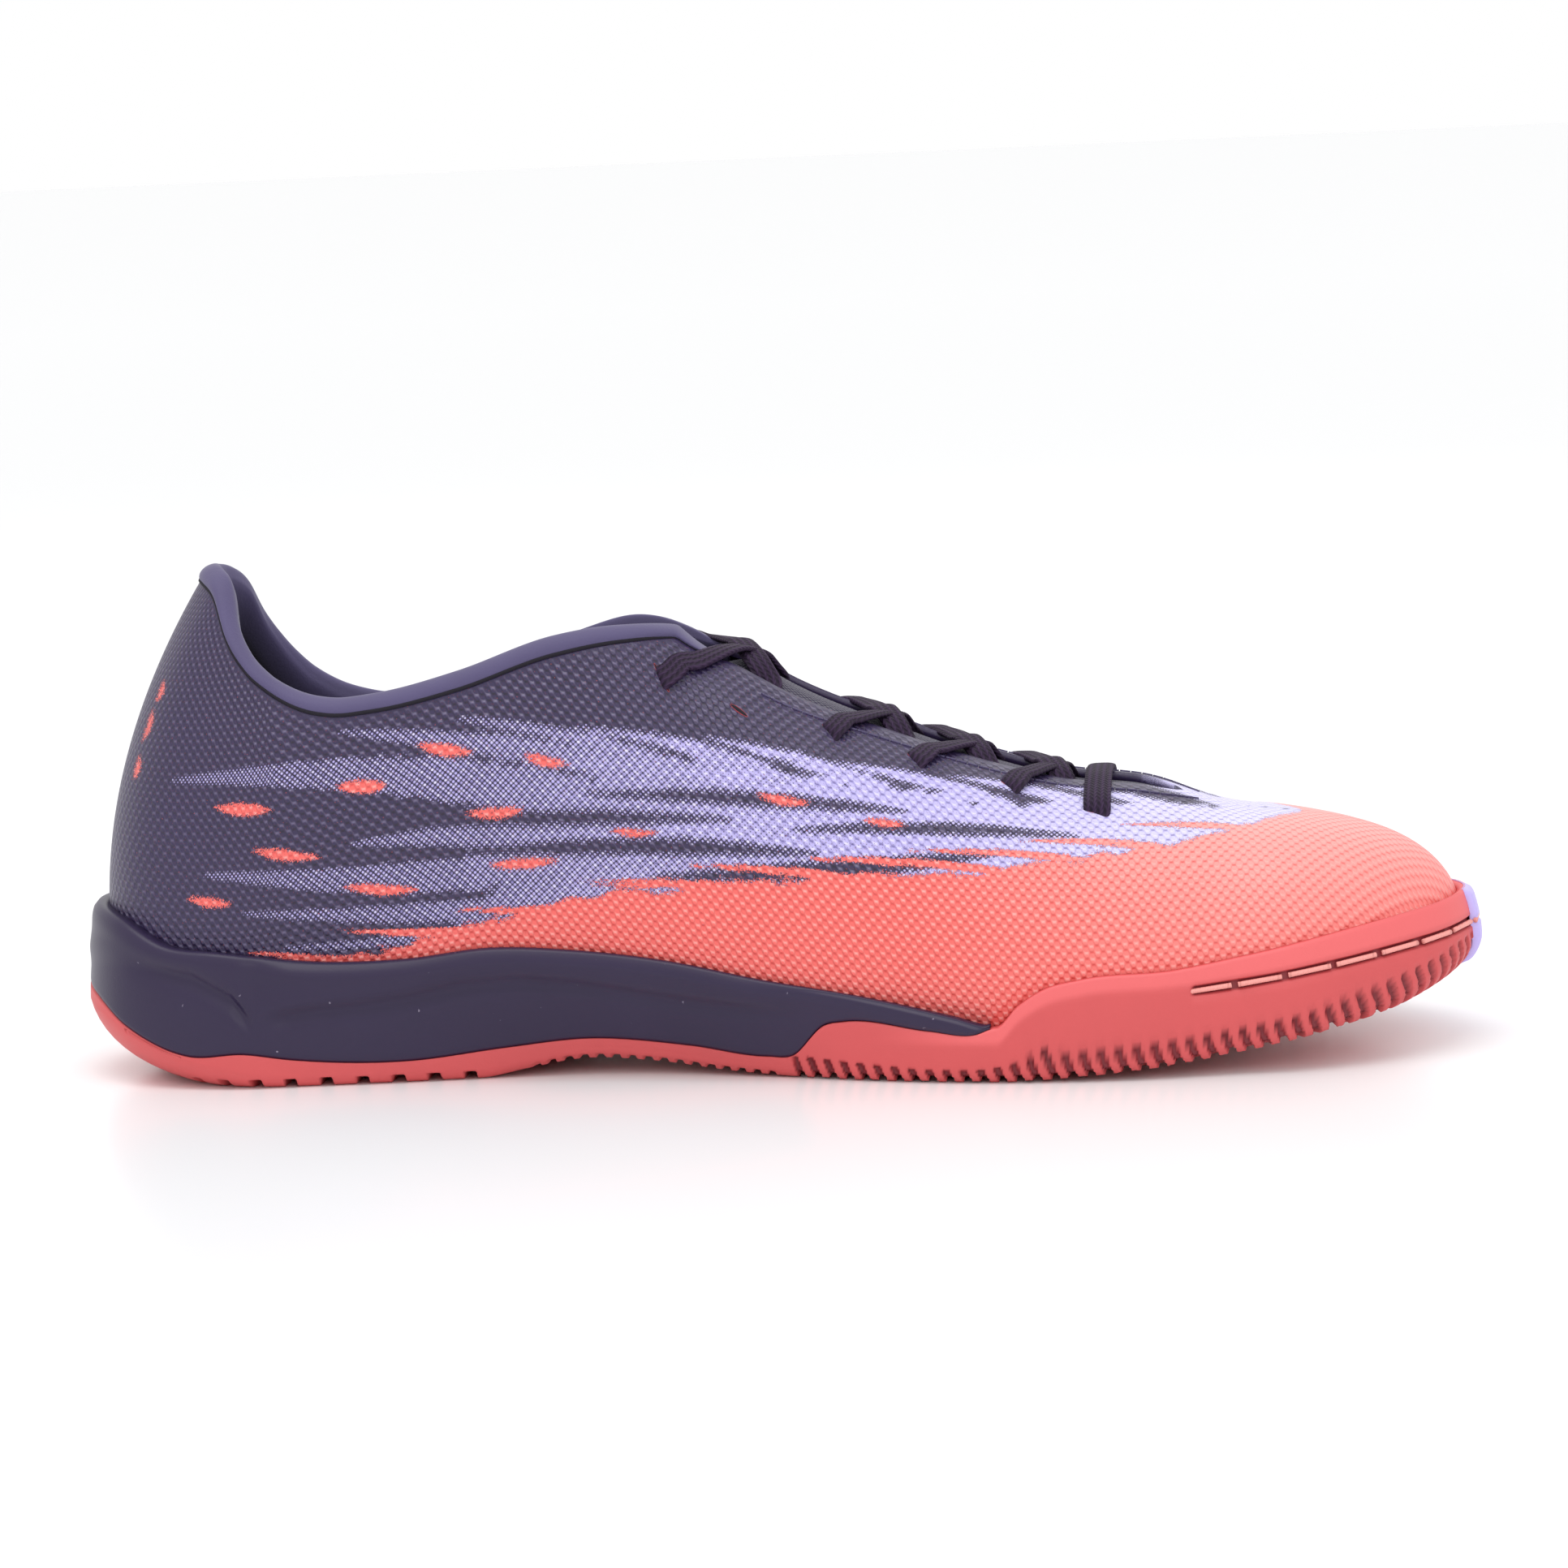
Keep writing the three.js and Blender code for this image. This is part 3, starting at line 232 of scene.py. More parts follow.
class Ribs:
    """Upright sections of the last at many places round the loop, as arrays."""

    def __init__(self, walk):
        self.walk = np.asarray(walk, float)
        outer = self.walk > HALF_ROUND
        self.side = np.where(outer, 1.0, -1.0)
        self.along = ALONG_START + np.where(outer, 2 * HALF_ROUND - self.walk, self.walk)
        self.x = np.clip(self.along, HEEL_CENTRE, TOE_CENTRE)
        turn = (self.along - self.x) / TURN_RADIUS
        self.y = spine_y(self.x)
        self.out_x = np.sin(turn)
        self.out_y = self.side * np.cos(turn)
        for name, column in COLUMNS.items():
            setattr(self, name, column(self.walk))
        self.feather = np.minimum(self.upper, self.sole) - FEATHER_INSET
        self.floor = floor_height(self.x + self.out_x * self.feather)

    def point(self, reach, height):
        """Points at a reach from the spine and a height, as rows of x, y, z."""
        return np.stack([self.x + self.out_x * reach, self.y + self.out_y * reach,
                         np.broadcast_to(height, np.shape(reach))], -1)

    def skin(self, step):
        """Reach and height on the last: step 0 to 1 is under the widest place, 1 to 2 over it."""
        step = np.clip(step, 0, 2)
        lower = np.minimum(step, 1) * math.pi / 2
        low_reach = self.feather + (self.upper - self.feather) * np.sin(lower)
        low_height = self.widest - (self.widest - self.floor) * np.cos(lower)
        rise = np.clip(step - 1, 0, 1) * math.pi / 2
        reach = self.upper * np.maximum(np.cos(rise), 0) ** (2 / self.bow)
        crown = self.crown - TOE_SLOPE * np.maximum(reach * self.out_x, 0)
        height = self.widest + (crown - self.widest) * np.sin(rise)
        return np.where(step < 1, low_reach, reach), np.where(step < 1, low_height, height)

    def skin_out(self, step, grow):
        """The last's surface, moved outward along its normal in the rib's plane."""
        reach, height = self.skin(step)
        low_reach, low_height = self.skin(np.maximum(step - 0.01, 0))
        high_reach, high_height = self.skin(np.minimum(step + 0.01, 2))
        outward = high_height - low_height
        upward = low_reach - high_reach
        outward = np.where(np.asarray(step) <= 0, 0.0, np.where(reach < 1e-6, 0.0, outward))
        upward = np.where(np.asarray(step) <= 0, -1.0, np.where(reach < 1e-6, 1.0, upward))
        size = np.hypot(outward, upward)
        return reach + grow * outward / size, height + grow * upward / size

    def step_at_height(self, height):
        low = np.clip((self.widest - height) / (self.widest - self.floor), 0, 1)
        high = np.clip((height - self.widest) / (self.crown - self.widest), 0, 1)
        return np.where(height < self.widest, np.arccos(low), math.pi / 2 + np.arcsin(high)) / (math.pi / 2)

    def step_at_reach(self, reach):
        share = np.clip(np.asarray(reach) / self.upper, 0, 1)
        return 1 + np.arccos(share ** (self.bow / 2)) / (math.pi / 2)

    def collar_step(self):
        """The step at which each rib meets its collar line, found by halving."""
        low = np.ones(len(self.walk))
        high = self.step_at_height(HEEL_HEIGHT * 1.06)
        for _ in range(30):
            middle = (low + high) / 2
            reach, height = self.skin(middle)
            x = self.x + self.out_x * reach
            line = np.where(self.side < 0, inner_collar(x), outer_collar(x))
            below = height < line
            low = np.where(below, middle, low)
            high = np.where(below, high, middle)
        return low


def whole_loop(count):
    """Ribs all round the shoe, from the heel's back by the inner side."""
    return Ribs(np.linspace(0, 2 * HALF_ROUND, count, endpoint=False))


def heel_loop(front, count):
    """Ribs from a front place on the inner side, round the heel, to that place on the outer side."""
    walked = front - ALONG_START
    walk = np.linspace(-walked, walked, count)
    return Ribs(np.where(walk < 0, -walk, 2 * HALF_ROUND - walk))


def ribs_at(x, side):
    """Ribs square across the shoe at given places, on the inner (-1) or outer (1) side."""
    x = np.asarray(x, float)
    walked = x - ALONG_START
    return Ribs(np.where(np.broadcast_to(side, x.shape) < 0, walked, 2 * HALF_ROUND - walked))


def skin_points(x, offset, lift, crown=None):
    """Points on the last at x, at an offset across from the spine, lifted off its surface."""
    x = np.asarray(x, float)
    offset = np.asarray(offset, float)
    ribs = ribs_at(x, np.where(offset < 0, -1, 1))
    if crown is not None:
        ribs.crown = np.where(np.isnan(crown), ribs.crown, crown)
    reach, height = ribs.skin_out(ribs.step_at_reach(np.abs(offset)), lift)
    return ribs.point(reach, height)


# The side chart: where a point is seen from the inner side, in sixths of a millimetre from the left and top
CHART_TURN = math.radians(6)
CHART_TILT = math.radians(7.5)
CHART_ROLL = math.radians(2.55)
CHART_DISTANCE = 1000
CHART_SPAN = 6000
CHART_HALF = 966
CHART_AIM = np.array([147, 0, 54.75])


def chart_axes():
    back = np.array([math.sin(CHART_TURN) * math.cos(CHART_TILT),
                     -math.cos(CHART_TURN) * math.cos(CHART_TILT), math.sin(CHART_TILT)])
    right = np.cross(-back, [0, 0, 1])
    right /= np.linalg.norm(right)
    up = np.cross(right, -back)
    level = right * math.cos(CHART_ROLL) - up * math.sin(CHART_ROLL)
    upright = right * math.sin(CHART_ROLL) + up * math.cos(CHART_ROLL)
    return level, upright, back


def chart_of(points):
    """Chart coordinates of points; the outer side has the inner side's chart, mirrored at the spine."""
    points = points.copy()
    spine = spine_y(points[..., 0])
    points[..., 1] = spine - np.abs(points[..., 1] - spine)
    level, upright, back = chart_axes()
    seen = points - (CHART_AIM + CHART_DISTANCE * back)
    depth = -(seen @ back)
    return (CHART_HALF + CHART_SPAN * (seen @ level) / depth,
            CHART_HALF - CHART_SPAN * (seen @ upright) / depth)


def smooth(value):
    value = np.clip(value, 0, 1)
    return value * value * (3 - 2 * value)


NOISE = np.random.default_rng(7).random((64, 64))


def noise_at(u, v):
    """Smooth value noise between 0 and 1, repeating after 64 cells."""
    i = np.floor(u).astype(int)
    j = np.floor(v).astype(int)
    s = smooth(u - i)
    t = smooth(v - j)
    low = NOISE[i % 64, j % 64] * (1 - s) + NOISE[(i + 1) % 64, j % 64] * s
    high = NOISE[i % 64, (j + 1) % 64] * (1 - s) + NOISE[(i + 1) % 64, (j + 1) % 64] * s
    return low * (1 - t) + high * t


# Mesh building. Points closer than WELD become one; edges shorter than NO_LENGTH go. Both are in metres.
WELD = 2e-6
NO_LENGTH = 1e-8


def to_frame(points):
    points = np.asarray(points, float).reshape(-1, 3)
    return (points - [MIDDLE_X, MIDDLE_Y, 0]) * MM


def grid_faces(rows, columns):
    """Quads of a grid of points stored row by row, each row a closed loop."""
    row = np.arange(rows - 1)[:, None]
    column = np.arange(columns)[None, :]
    after = (column + 1) % columns
    low = row * columns
    high = low + columns
    quads = np.stack([low + column, low + after, high + after, high + column], -1)
    return quads.reshape(-1, 4).tolist()


def strip_cap(start, columns):
    """Closes a loop of points with quads between its two sides."""
    faces = []
    for i in range(columns // 2):
        far = start + (columns - i) % columns
        far_next = start + columns - i - 1
        ring = [start + i, start + i + 1, far_next, far]
        faces.append(list(dict.fromkeys(ring)))
    return [face for face in faces if len(face) > 2]


def make_piece(name, points, faces, materials, uv=None, fields=None, face_material=None):
    """A closed, smooth mesh object in the part's frame, faces out."""
    mesh = bpy.data.meshes.new(name)
    mesh.from_pydata(to_frame(points).tolist(), [], faces)
    for material in materials:
        mesh.materials.append(material)
    if uv is not None:
        layer = mesh.uv_layers.new(name="surface_mm")
        corners = np.empty(len(mesh.loops), dtype=np.int32)
        mesh.loops.foreach_get("vertex_index", corners)
        layer.data.foreach_set("uv", np.asarray(uv, np.float32).reshape(-1, 2)[corners].ravel())
    for field_name, values in (fields or {}).items():
        layer = mesh.attributes.new(field_name, "FLOAT", "POINT")
        layer.data.foreach_set("value", np.asarray(values, np.float32).ravel())
    if face_material is not None:
        mesh.polygons.foreach_set("material_index", np.asarray(face_material, np.int32))
    shape = bmesh.new()
    shape.from_mesh(mesh)
    bmesh.ops.remove_doubles(shape, verts=shape.verts, dist=WELD)
    bmesh.ops.dissolve_degenerate(shape, edges=shape.edges, dist=NO_LENGTH)
    bmesh.ops.recalc_face_normals(shape, faces=shape.faces)
    shape.to_mesh(mesh)
    shape.free()
    mesh.shade_smooth()
    mesh.validate()
    piece = bpy.data.objects.new(name, mesh)
    bpy.context.scene.collection.objects.link(piece)
    return piece


def sweep(name, sections, materials, uv=None, fields=None):
    """A closed tube through sections, each a loop of the same number of points."""
    sections = np.asarray(sections, float)
    rows, columns = sections.shape[:2]
    faces = grid_faces(rows, columns)
    faces.append(list(range(columns))[::-1])
    faces.append([(rows - 1) * columns + i for i in range(columns)])
    return make_piece(name, sections, faces, materials, uv=uv, fields=fields)


def walked_length(reach, height):
    """Length walked up each rib's curve, from rows of samples of it."""
    lengths = np.hypot(np.diff(reach, axis=0), np.diff(height, axis=0))
    return np.vstack([np.zeros(lengths.shape[1]), np.cumsum(lengths, axis=0)])


def read_ribs(wanted, known, values):
    """Values at wanted places on each rib, read off that rib's own samples."""
    out = np.empty_like(wanted)
    for i in range(wanted.shape[1]):
        out[:, i] = np.interp(wanted[:, i], known[:, i], values[:, i])
    return out


def spread_evenly(steps, reach, height, count):
    """Steps that divide each rib's curve into equal lengths: rows of samples in, rows of steps out."""
    walked = walked_length(reach, height)
    return read_ribs(np.linspace(0, walked[-1], count), walked, steps)


# Materials
def linear(colour):
    """An sRGB hex colour as a linear RGBA value."""
    channels = [int(colour[i:i + 2], 16) / 255 for i in (1, 3, 5)]
    return [c / 12.92 if c <= 0.04045 else ((c + 0.055) / 1.055) ** 2.4 for c in channels] + [1.0]


def add_node(tree, kind, inputs=None, **settings):
    """Adds a node with its settings; inputs are values or sockets to link, by name or number."""
    node = tree.nodes.new(kind)
    for name, value in settings.items():
        setattr(node, name, value)
    for key, value in (inputs or {}).items():
        socket = node.inputs[key]
        if isinstance(value, bpy.types.NodeSocket):
            tree.links.new(value, socket)
        else:
            socket.default_value = value
    return node


def maths(tree, operation, *values, clamp=False):
    return add_node(tree, "ShaderNodeMath", dict(enumerate(values)), operation=operation,
                    use_clamp=clamp).outputs[0]


def blend_colour(tree, share, first, second):
    return add_node(tree, "ShaderNodeMix", {0: share, 6: first, 7: second}, data_type="RGBA").outputs[2]


def new_material(name, colour, roughness):
    """A material with one shader; returns the material, its tree and the shader."""
    material = bpy.data.materials.new(name)
    material.use_nodes = True
    tree = material.node_tree
    shader = tree.nodes["Principled BSDF"]
    shader.inputs["Base Color"].default_value = colour
    shader.inputs["Roughness"].default_value = roughness
    return material, tree, shader


def set_bump(tree, shader, height, distance):
    """Bump of a depth in millimetres."""
    bump = add_node(tree, "ShaderNodeBump", {"Height": height, "Distance": distance * MM, "Strength": 1.0})
    tree.links.new(bump.outputs[0], shader.inputs["Normal"])


def object_noise(tree, size, detail=2.0):
    """Noise on object coordinates with features of a real size in millimetres."""
    place = add_node(tree, "ShaderNodeTexCoord")
    return add_node(tree, "ShaderNodeTexNoise", {"Vector": place.outputs["Object"], "Scale": 1 / (size * MM),
                                                 "Detail": detail, "Roughness": 0.5}).outputs["Fac"]


def painted_field(tree, name):
    """A value that the mesh carries at each of its points."""
    return add_node(tree, "ShaderNodeAttribute", attribute_name=name).outputs["Fac"]


def printed_upper(looks):
    """Coated synthetic, embossed and printed: satin plum with halftone lavender and coral."""
    # The coat and a painted highlight on the upper edge give each raised rhomb its sheen; the print shows as dots
    # from close by.
    material, tree, shader = new_material("embossed_coated_synthetic", linear("#2a2140"), 0.38)
    place = add_node(tree, "ShaderNodeUVMap", uv_map="surface_mm").outputs[0]
    parts = add_node(tree, "ShaderNodeSeparateXYZ", {0: place})
    u, v = parts.outputs[0], parts.outputs[1]
    lavender, coral, relief, toe = [painted_field(tree, name) for name in ("lavender", "coral", "relief", "toe")]

    # Halftone dots on a grid turned by 45 degrees
    pitch = looks.dot_pitch
    turned = add_node(tree, "ShaderNodeVectorRotate", {0: place, 3: math.radians(45)}, rotation_type="Z_AXIS")
    cells = add_node(tree, "ShaderNodeVectorMath", {0: turned.outputs[0], 1: (pitch, pitch, 1)}, operation="DIVIDE")
    whole = add_node(tree, "ShaderNodeVectorMath", {0: cells.outputs[0]}, operation="FRACTION")
    centred = add_node(tree, "ShaderNodeVectorMath", {0: whole.outputs[0], 1: (0.5, 0.5, 0)}, operation="SUBTRACT")
    flat = add_node(tree, "ShaderNodeVectorMath", {0: centred.outputs[0], 1: (1, 1, 0)}, operation="MULTIPLY")
    distance = add_node(tree, "ShaderNodeVectorMath", {0: flat.outputs[0]}, operation="LENGTH").outputs["Value"]
    solid = maths(tree, "MULTIPLY", maths(tree, "POWER", lavender, 6.0), 0.3)
    radius = maths(tree, "ADD", maths(tree, "MULTIPLY_ADD", lavender, 0.24, 0.2), solid)
    dots = maths(tree, "MULTIPLY_ADD", maths(tree, "SUBTRACT", radius, distance), 6.0, 0.5, clamp=True)
    dots = maths(tree, "MULTIPLY", dots, maths(tree, "MULTIPLY", lavender, 6.0, clamp=True))

    speckle = add_node(tree, "ShaderNodeTexNoise", {"Vector": place, "Scale": 2.6, "Detail": 1.0},
                       noise_dimensions="2D").outputs["Fac"]
    edge = maths(tree, "ADD", coral, maths(tree, "MULTIPLY_ADD", speckle, 1.3, -0.65))
    coral_print = maths(tree, "MULTIPLY_ADD", maths(tree, "SUBTRACT", edge, 0.5), 4.0, 0.5, clamp=True)

    dark = blend_colour(tree, object_noise(tree, 14), looks_colour(looks.upper_colour, 0.93),
                        looks_colour(looks.upper_colour, 1.12))
    # Painted highlight: the lavender and coral turn paler towards the toe and up over its top
    pale = blend_colour(tree, toe, linear("#b9b0e8"), linear("#dcd7ff"))
    ink = blend_colour(tree, dots, dark, pale)
    warm = blend_colour(tree, toe, looks_colour(looks.coral_colour, 0.96), linear("#fda8a2"))
    # Each coral mark fades out through a dark red halo
    halo = maths(tree, "MULTIPLY_ADD", edge, 3.0, -0.45, clamp=True)
    ink = blend_colour(tree, maths(tree, "MULTIPLY", halo, 0.6), ink, linear("#6f2f3e"))
    colour = blend_colour(tree, coral_print, ink, warm)

    # Raised slanting rhombs of 2.4 by 1.35 mm set like bricks; on the coral they are smaller and softer
    unprinted = maths(tree, "SUBTRACT", 1.0, coral_print)

    def emboss(shift):
        lower = maths(tree, "ADD", v, shift)
        rhomb = rhomb_rows(tree, u, lower, 2.4, 2.7, 0.2)
        weave = rhomb_rows(tree, u, lower, 2.2, 2.5, 0.1)
        mixed = maths(tree, "ADD", maths(tree, "MULTIPLY", rhomb, unprinted),
                      maths(tree, "MULTIPLY", weave, coral_print))
        return maths(tree, "MULTIPLY", mixed, relief)

    raised = emboss(0.0)
    grain = object_noise(tree, 0.35, 2.0)
    set_bump(tree, shader, maths(tree, "MULTIPLY_ADD", grain, 0.25, raised), looks.relief_depth)

    # Painted highlight on the upper edges of the rhombs and painted shade on their lower edges, as if lit from above
    slope = maths(tree, "SUBTRACT", raised, emboss(0.36))
    shade = maths(tree, "MULTIPLY", slope, -1.1, clamp=True)
    in_shade = blend_colour(tree, coral_print, blend_colour(tree, dots, linear("#1a1129"), linear("#7268a8")),
                            linear("#e04f4a"))
    colour = blend_colour(tree, shade, colour, in_shade)
    painted_highlight = maths(tree, "MULTIPLY", slope, 0.75, clamp=True)
    in_light = blend_colour(tree, coral_print, blend_colour(tree, dots, linear("#7a7192"), linear("#f2eeff")),
                            linear("#ffb9b1"))
    colour = blend_colour(tree, painted_highlight, colour, in_light)
    tree.links.new(colour, shader.inputs["Base Color"])
    return material


def rhomb_rows(tree, u, v, along, across, lean):
    """Raised rhombs in rows like bricks, leaning forward: 0 in the troughs, 1 on the faces."""
    leaning = maths(tree, "MULTIPLY_ADD", v, lean, u)
    first = maths(tree, "ADD", maths(tree, "DIVIDE", leaning, along), maths(tree, "DIVIDE", v, across))
    second = maths(tree, "SUBTRACT", maths(tree, "DIVIDE", leaning, along), maths(tree, "DIVIDE", v, across))
    waves = [maths(tree, "COSINE", maths(tree, "MULTIPLY", part, 2 * math.pi)) for part in (first, second)]
    return maths(tree, "MULTIPLY_ADD", maths(tree, "ADD", *waves), 0.55, 0.35, clamp=True)


def looks_colour(colour, gain):
    return [min(channel * gain, 1.0) for channel in colour[:3]] + [1.0]


def lining_cloth():
    """Polyester lining cloth: matt, with a fine thread grain, and near-black as painted shade inside the shoe."""
    material, tree, shader = new_material("polyester_lining_cloth", linear("#09070c"), 0.95)
    shader.inputs["Specular IOR Level"].default_value = 0.2
    set_bump(tree, shader, object_noise(tree, 0.6), 0.08)
    return material


def collar_knit(looks):
    """Brushed nylon knit over foam: smooth, slightly satin, with a fine nap."""
    material, tree, shader = new_material("padded_nylon_knit", looks_colour(looks.collar_colour, 1.0), 0.62)
    shader.inputs["Sheen Weight"].default_value = 0.15
    shader.inputs["Specular IOR Level"].default_value = 0.4
    inside_shade = painted_field(tree, "inside_shade")
    tone = blend_colour(tree, object_noise(tree, 9), looks_colour(looks.collar_colour, 0.9),
                        looks_colour(looks.collar_colour, 1.1))
    # Painted shade: the knit grows darker down the inside of the collar
    deep = maths(tree, "MULTIPLY_ADD", inside_shade, 4.5, -0.08, clamp=True)
    tone = blend_colour(tree, deep, tone, linear("#0b080f"))
    tree.links.new(tone, shader.inputs["Base Color"])
    set_bump(tree, shader, object_noise(tree, 0.5), 0.05)
    return material


def tongue_knit():
    """Circular knit polyester: matt, with rows of small loops."""
    material, tree, shader = new_material("circular_knit_polyester", linear("#2f2742"), 0.8)
    shader.inputs["Sheen Weight"].default_value = 0.25
    place = add_node(tree, "ShaderNodeUVMap", uv_map="surface_mm").outputs[0]
    parts = add_node(tree, "ShaderNodeSeparateXYZ", {0: place})
    loops = maths(tree, "MULTIPLY", maths(tree, "SINE", maths(tree, "MULTIPLY", parts.outputs[0], 2 * math.pi / 1.2)),
                  maths(tree, "SINE", maths(tree, "MULTIPLY", parts.outputs[1], 2 * math.pi / 1.0)))
    set_bump(tree, shader, loops, 0.12)
    return material


def insole_cloth():
    """Brushed cloth over moulded foam: matt and dark, slightly flecked."""
    material, tree, shader = new_material("insole_cloth_on_foam", linear("#2a2336"), 0.95)
    tone = blend_colour(tree, object_noise(tree, 0.8), linear("#241e30"), linear("#39304a"))
    tree.links.new(tone, shader.inputs["Base Color"])
    set_bump(tree, shader, object_noise(tree, 0.7), 0.1)
    return material


def plum_foam(looks):
    """Compression-moulded EVA foam with a satin skin: soft broad highlights, faint scuffs."""
    material, tree, shader = new_material("moulded_eva_foam", looks_colour(looks.midsole_colour, 1.0), 0.36)
    shader.inputs["Specular IOR Level"].default_value = 0.35
    tone = blend_colour(tree, object_noise(tree, 18, 3.0), looks_colour(looks.midsole_colour, 0.92),
                        looks_colour(looks.midsole_colour, 1.12))
    peaks = maths(tree, "SUBTRACT", object_noise(tree, 0.9, 0.0), 0.86)
    specks = maths(tree, "MULTIPLY", peaks, 14.0, clamp=True)
    tone = blend_colour(tree, maths(tree, "MULTIPLY", specks, 0.5), tone, linear("#b7aec4"))
    tree.links.new(tone, shader.inputs["Base Color"])
    set_bump(tree, shader, object_noise(tree, 0.5), 0.02)
    return material


def coral_rubber(looks):
    """Compression-moulded rubber: even colour, soft satin, fine mould grain."""
    material, tree, shader = new_material("moulded_coral_rubber", looks_colour(looks.rubber_colour, 1.0), 0.5)
    tone = blend_colour(tree, object_noise(tree, 16, 3.0), looks_colour(looks.rubber_colour, 0.94),
                        looks_colour(looks.rubber_colour, 1.08))
    # The lip that catches the light is paler; the ribs' slots and the stitch's groove are deep in shade
    tone = blend_colour(tree, painted_field(tree, "lip"), tone, linear("#e8686a"))
    tone = blend_colour(tree, painted_field(tree, "cut"), tone, linear("#822a33"))
    tree.links.new(tone, shader.inputs["Base Color"])
    set_bump(tree, shader, object_noise(tree, 0.45), 0.03)
    return material


def lavender_rubber():
    """Moulded rubber sheet in lavender: smooth satin."""
    material, tree, shader = new_material("moulded_lavender_rubber", linear("#c4b5f2"), 0.45)
    set_bump(tree, shader, object_noise(tree, 0.5), 0.02)
    return material


def woven_lace(looks):
    """Flat braided polyester: four ribs of slanting stitches along the length."""
    material, tree, shader = new_material("braided_polyester_lace", looks_colour(looks.lace_colour, 1.0), 0.7)
    shader.inputs["Specular IOR Level"].default_value = 0.25
    place = add_node(tree, "ShaderNodeUVMap", uv_map="surface_mm").outputs[0]
    parts = add_node(tree, "ShaderNodeSeparateXYZ", {0: place})
    along, across = parts.outputs[0], parts.outputs[1]
    rib = maths(tree, "PINGPONG", maths(tree, "DIVIDE", across, 0.69), 1.0)
    slant = maths(tree, "MULTIPLY_ADD", rib, 0.8, maths(tree, "DIVIDE", along, 1.25))
    thread = maths(tree, "SINE", maths(tree, "MULTIPLY", slant, 2 * math.pi))
    groove = maths(tree, "SINE", maths(tree, "MULTIPLY", maths(tree, "DIVIDE", across, 1.38), 2 * math.pi))
    height = maths(tree, "MULTIPLY_ADD", thread, 0.5, groove)
    set_bump(tree, shader, height, 0.16)
    # Painted light and shade: the threads' tops are painted paler and the grooves between them darker
    shade = maths(tree, "MULTIPLY_ADD", height, 0.3, 0.5, clamp=True)
    tone = blend_colour(tree, shade, looks_colour(looks.lace_colour, 0.35), looks_colour(looks.lace_colour, 1.9))
    tree.links.new(tone, shader.inputs["Base Color"])
    return material


def sewing_thread(name, colour):
    """Bonded polyester thread: twisted, slightly glossy."""
    material, tree, shader = new_material(name, linear(colour), 0.5)
    place = add_node(tree, "ShaderNodeTexCoord")
    twist = add_node(tree, "ShaderNodeTexWave", {"Vector": place.outputs["Object"], "Scale": 320.0}).outputs["Fac"]
    set_bump(tree, shader, twist, 0.12)
    return material


def raw_edge():
    """Raw cut edge of the coral backing cloth in the eyelet slits: matt, a little hairy."""
    material, tree, shader = new_material("raw_coral_backing", linear("#984049"), 0.9)
    set_bump(tree, shader, object_noise(tree, 0.3), 0.2)
    return material


def dark_gap():
    """Painted shade: a near-black material for the shaded inside of a seam or slit."""
    return new_material("dark_seam_gap", linear("#17121f"), 0.9)[0]


# Print: tapered tongues from tip to root and free flecks, on the side chart
LAVENDER_TOP = [(640, 985), (700, 968), (780, 945), (880, 934), (960, 948), (1060, 968), (1150, 974), (1240, 990),
                (1330, 992), (1420, 990), (1520, 988), (1640, 992)]
CORAL_TOP = [(330, 1196), (420, 1184), (480, 1168), (560, 1148), (640, 1126), (720, 1106), (800, 1096),
             (900, 1088), (1000, 1084), (1100, 1078), (1210, 1074), (1290, 1062), (1400, 1048), (1480, 1030),
             (1540, 1016), (1590, 1003), (1640, 990), (1700, 940)]
# tip x, tip y, root x, root y, half-width, bend
LAVENDER_TONGUES = [
    (212, 962, 820, 1006, 42, -26), (246, 1078, 720, 1056, 30, 16), (420, 902, 840, 962, 26, -10),
    (300, 1126, 760, 1104, 20, 10), (560, 884, 860, 952, 16, -8), (430, 1040, 820, 1030, 28, -8),
    (700, 896, 980, 962, 15, -10), (860, 908, 1120, 986, 16, -8), (1010, 938, 1260, 1000, 13, -8),
    (1170, 956, 1380, 1004, 11, -5), (1300, 968, 1480, 1006, 9, -4), (1400, 962, 1540, 1000, 8, -3),
    (540, 1078, 900, 1058, 22, 6), (350, 1168, 620, 1140, 10, 6),
]
DARK_TONGUES = [
    (900, 1010, 470, 1018, 9, 6), (1010, 1052, 560, 1052, 10, 9), (1120, 1000, 720, 978, 8, 5),
    (1230, 1052, 800, 1082, 12, -6), (1330, 1030, 980, 1022, 7, 5),
]
CORAL_TONGUES = [
    (300, 1172, 520, 1186, 9, 4), (410, 1146, 680, 1142, 10, 5), (560, 1120, 840, 1112, 12, 6),
    (700, 1088, 960, 1098, 9, -4), (840, 1066, 1080, 1088, 8, -4), (980, 1058, 1240, 1074, 8, -4),
    (1120, 1048, 1340, 1060, 7, -3), (1250, 1036, 1440, 1044, 6, -3), (1380, 1016, 1540, 1020, 5, -2),
]
# middle x, middle y, half-length, half-width, tilt in degrees
FLECKS = [
    (300, 996, 36, 8, 3), (352, 1052, 44, 7, 6), (446, 968, 32, 9, -2), (548, 922, 36, 8, 8),
    (610, 1000, 38, 7, -3), (646, 1062, 46, 7, -4), (258, 1110, 30, 6, 8), (672, 936, 30, 7, 12),
    (780, 1024, 30, 5, 4), (964, 984, 36, 6, 10), (1090, 1012, 28, 5, 8), (470, 1094, 48, 7, 2),
    (197, 852, 14, 3, -70), (182, 894, 20, 3, -72), (168, 946, 16, 3, -76),
]


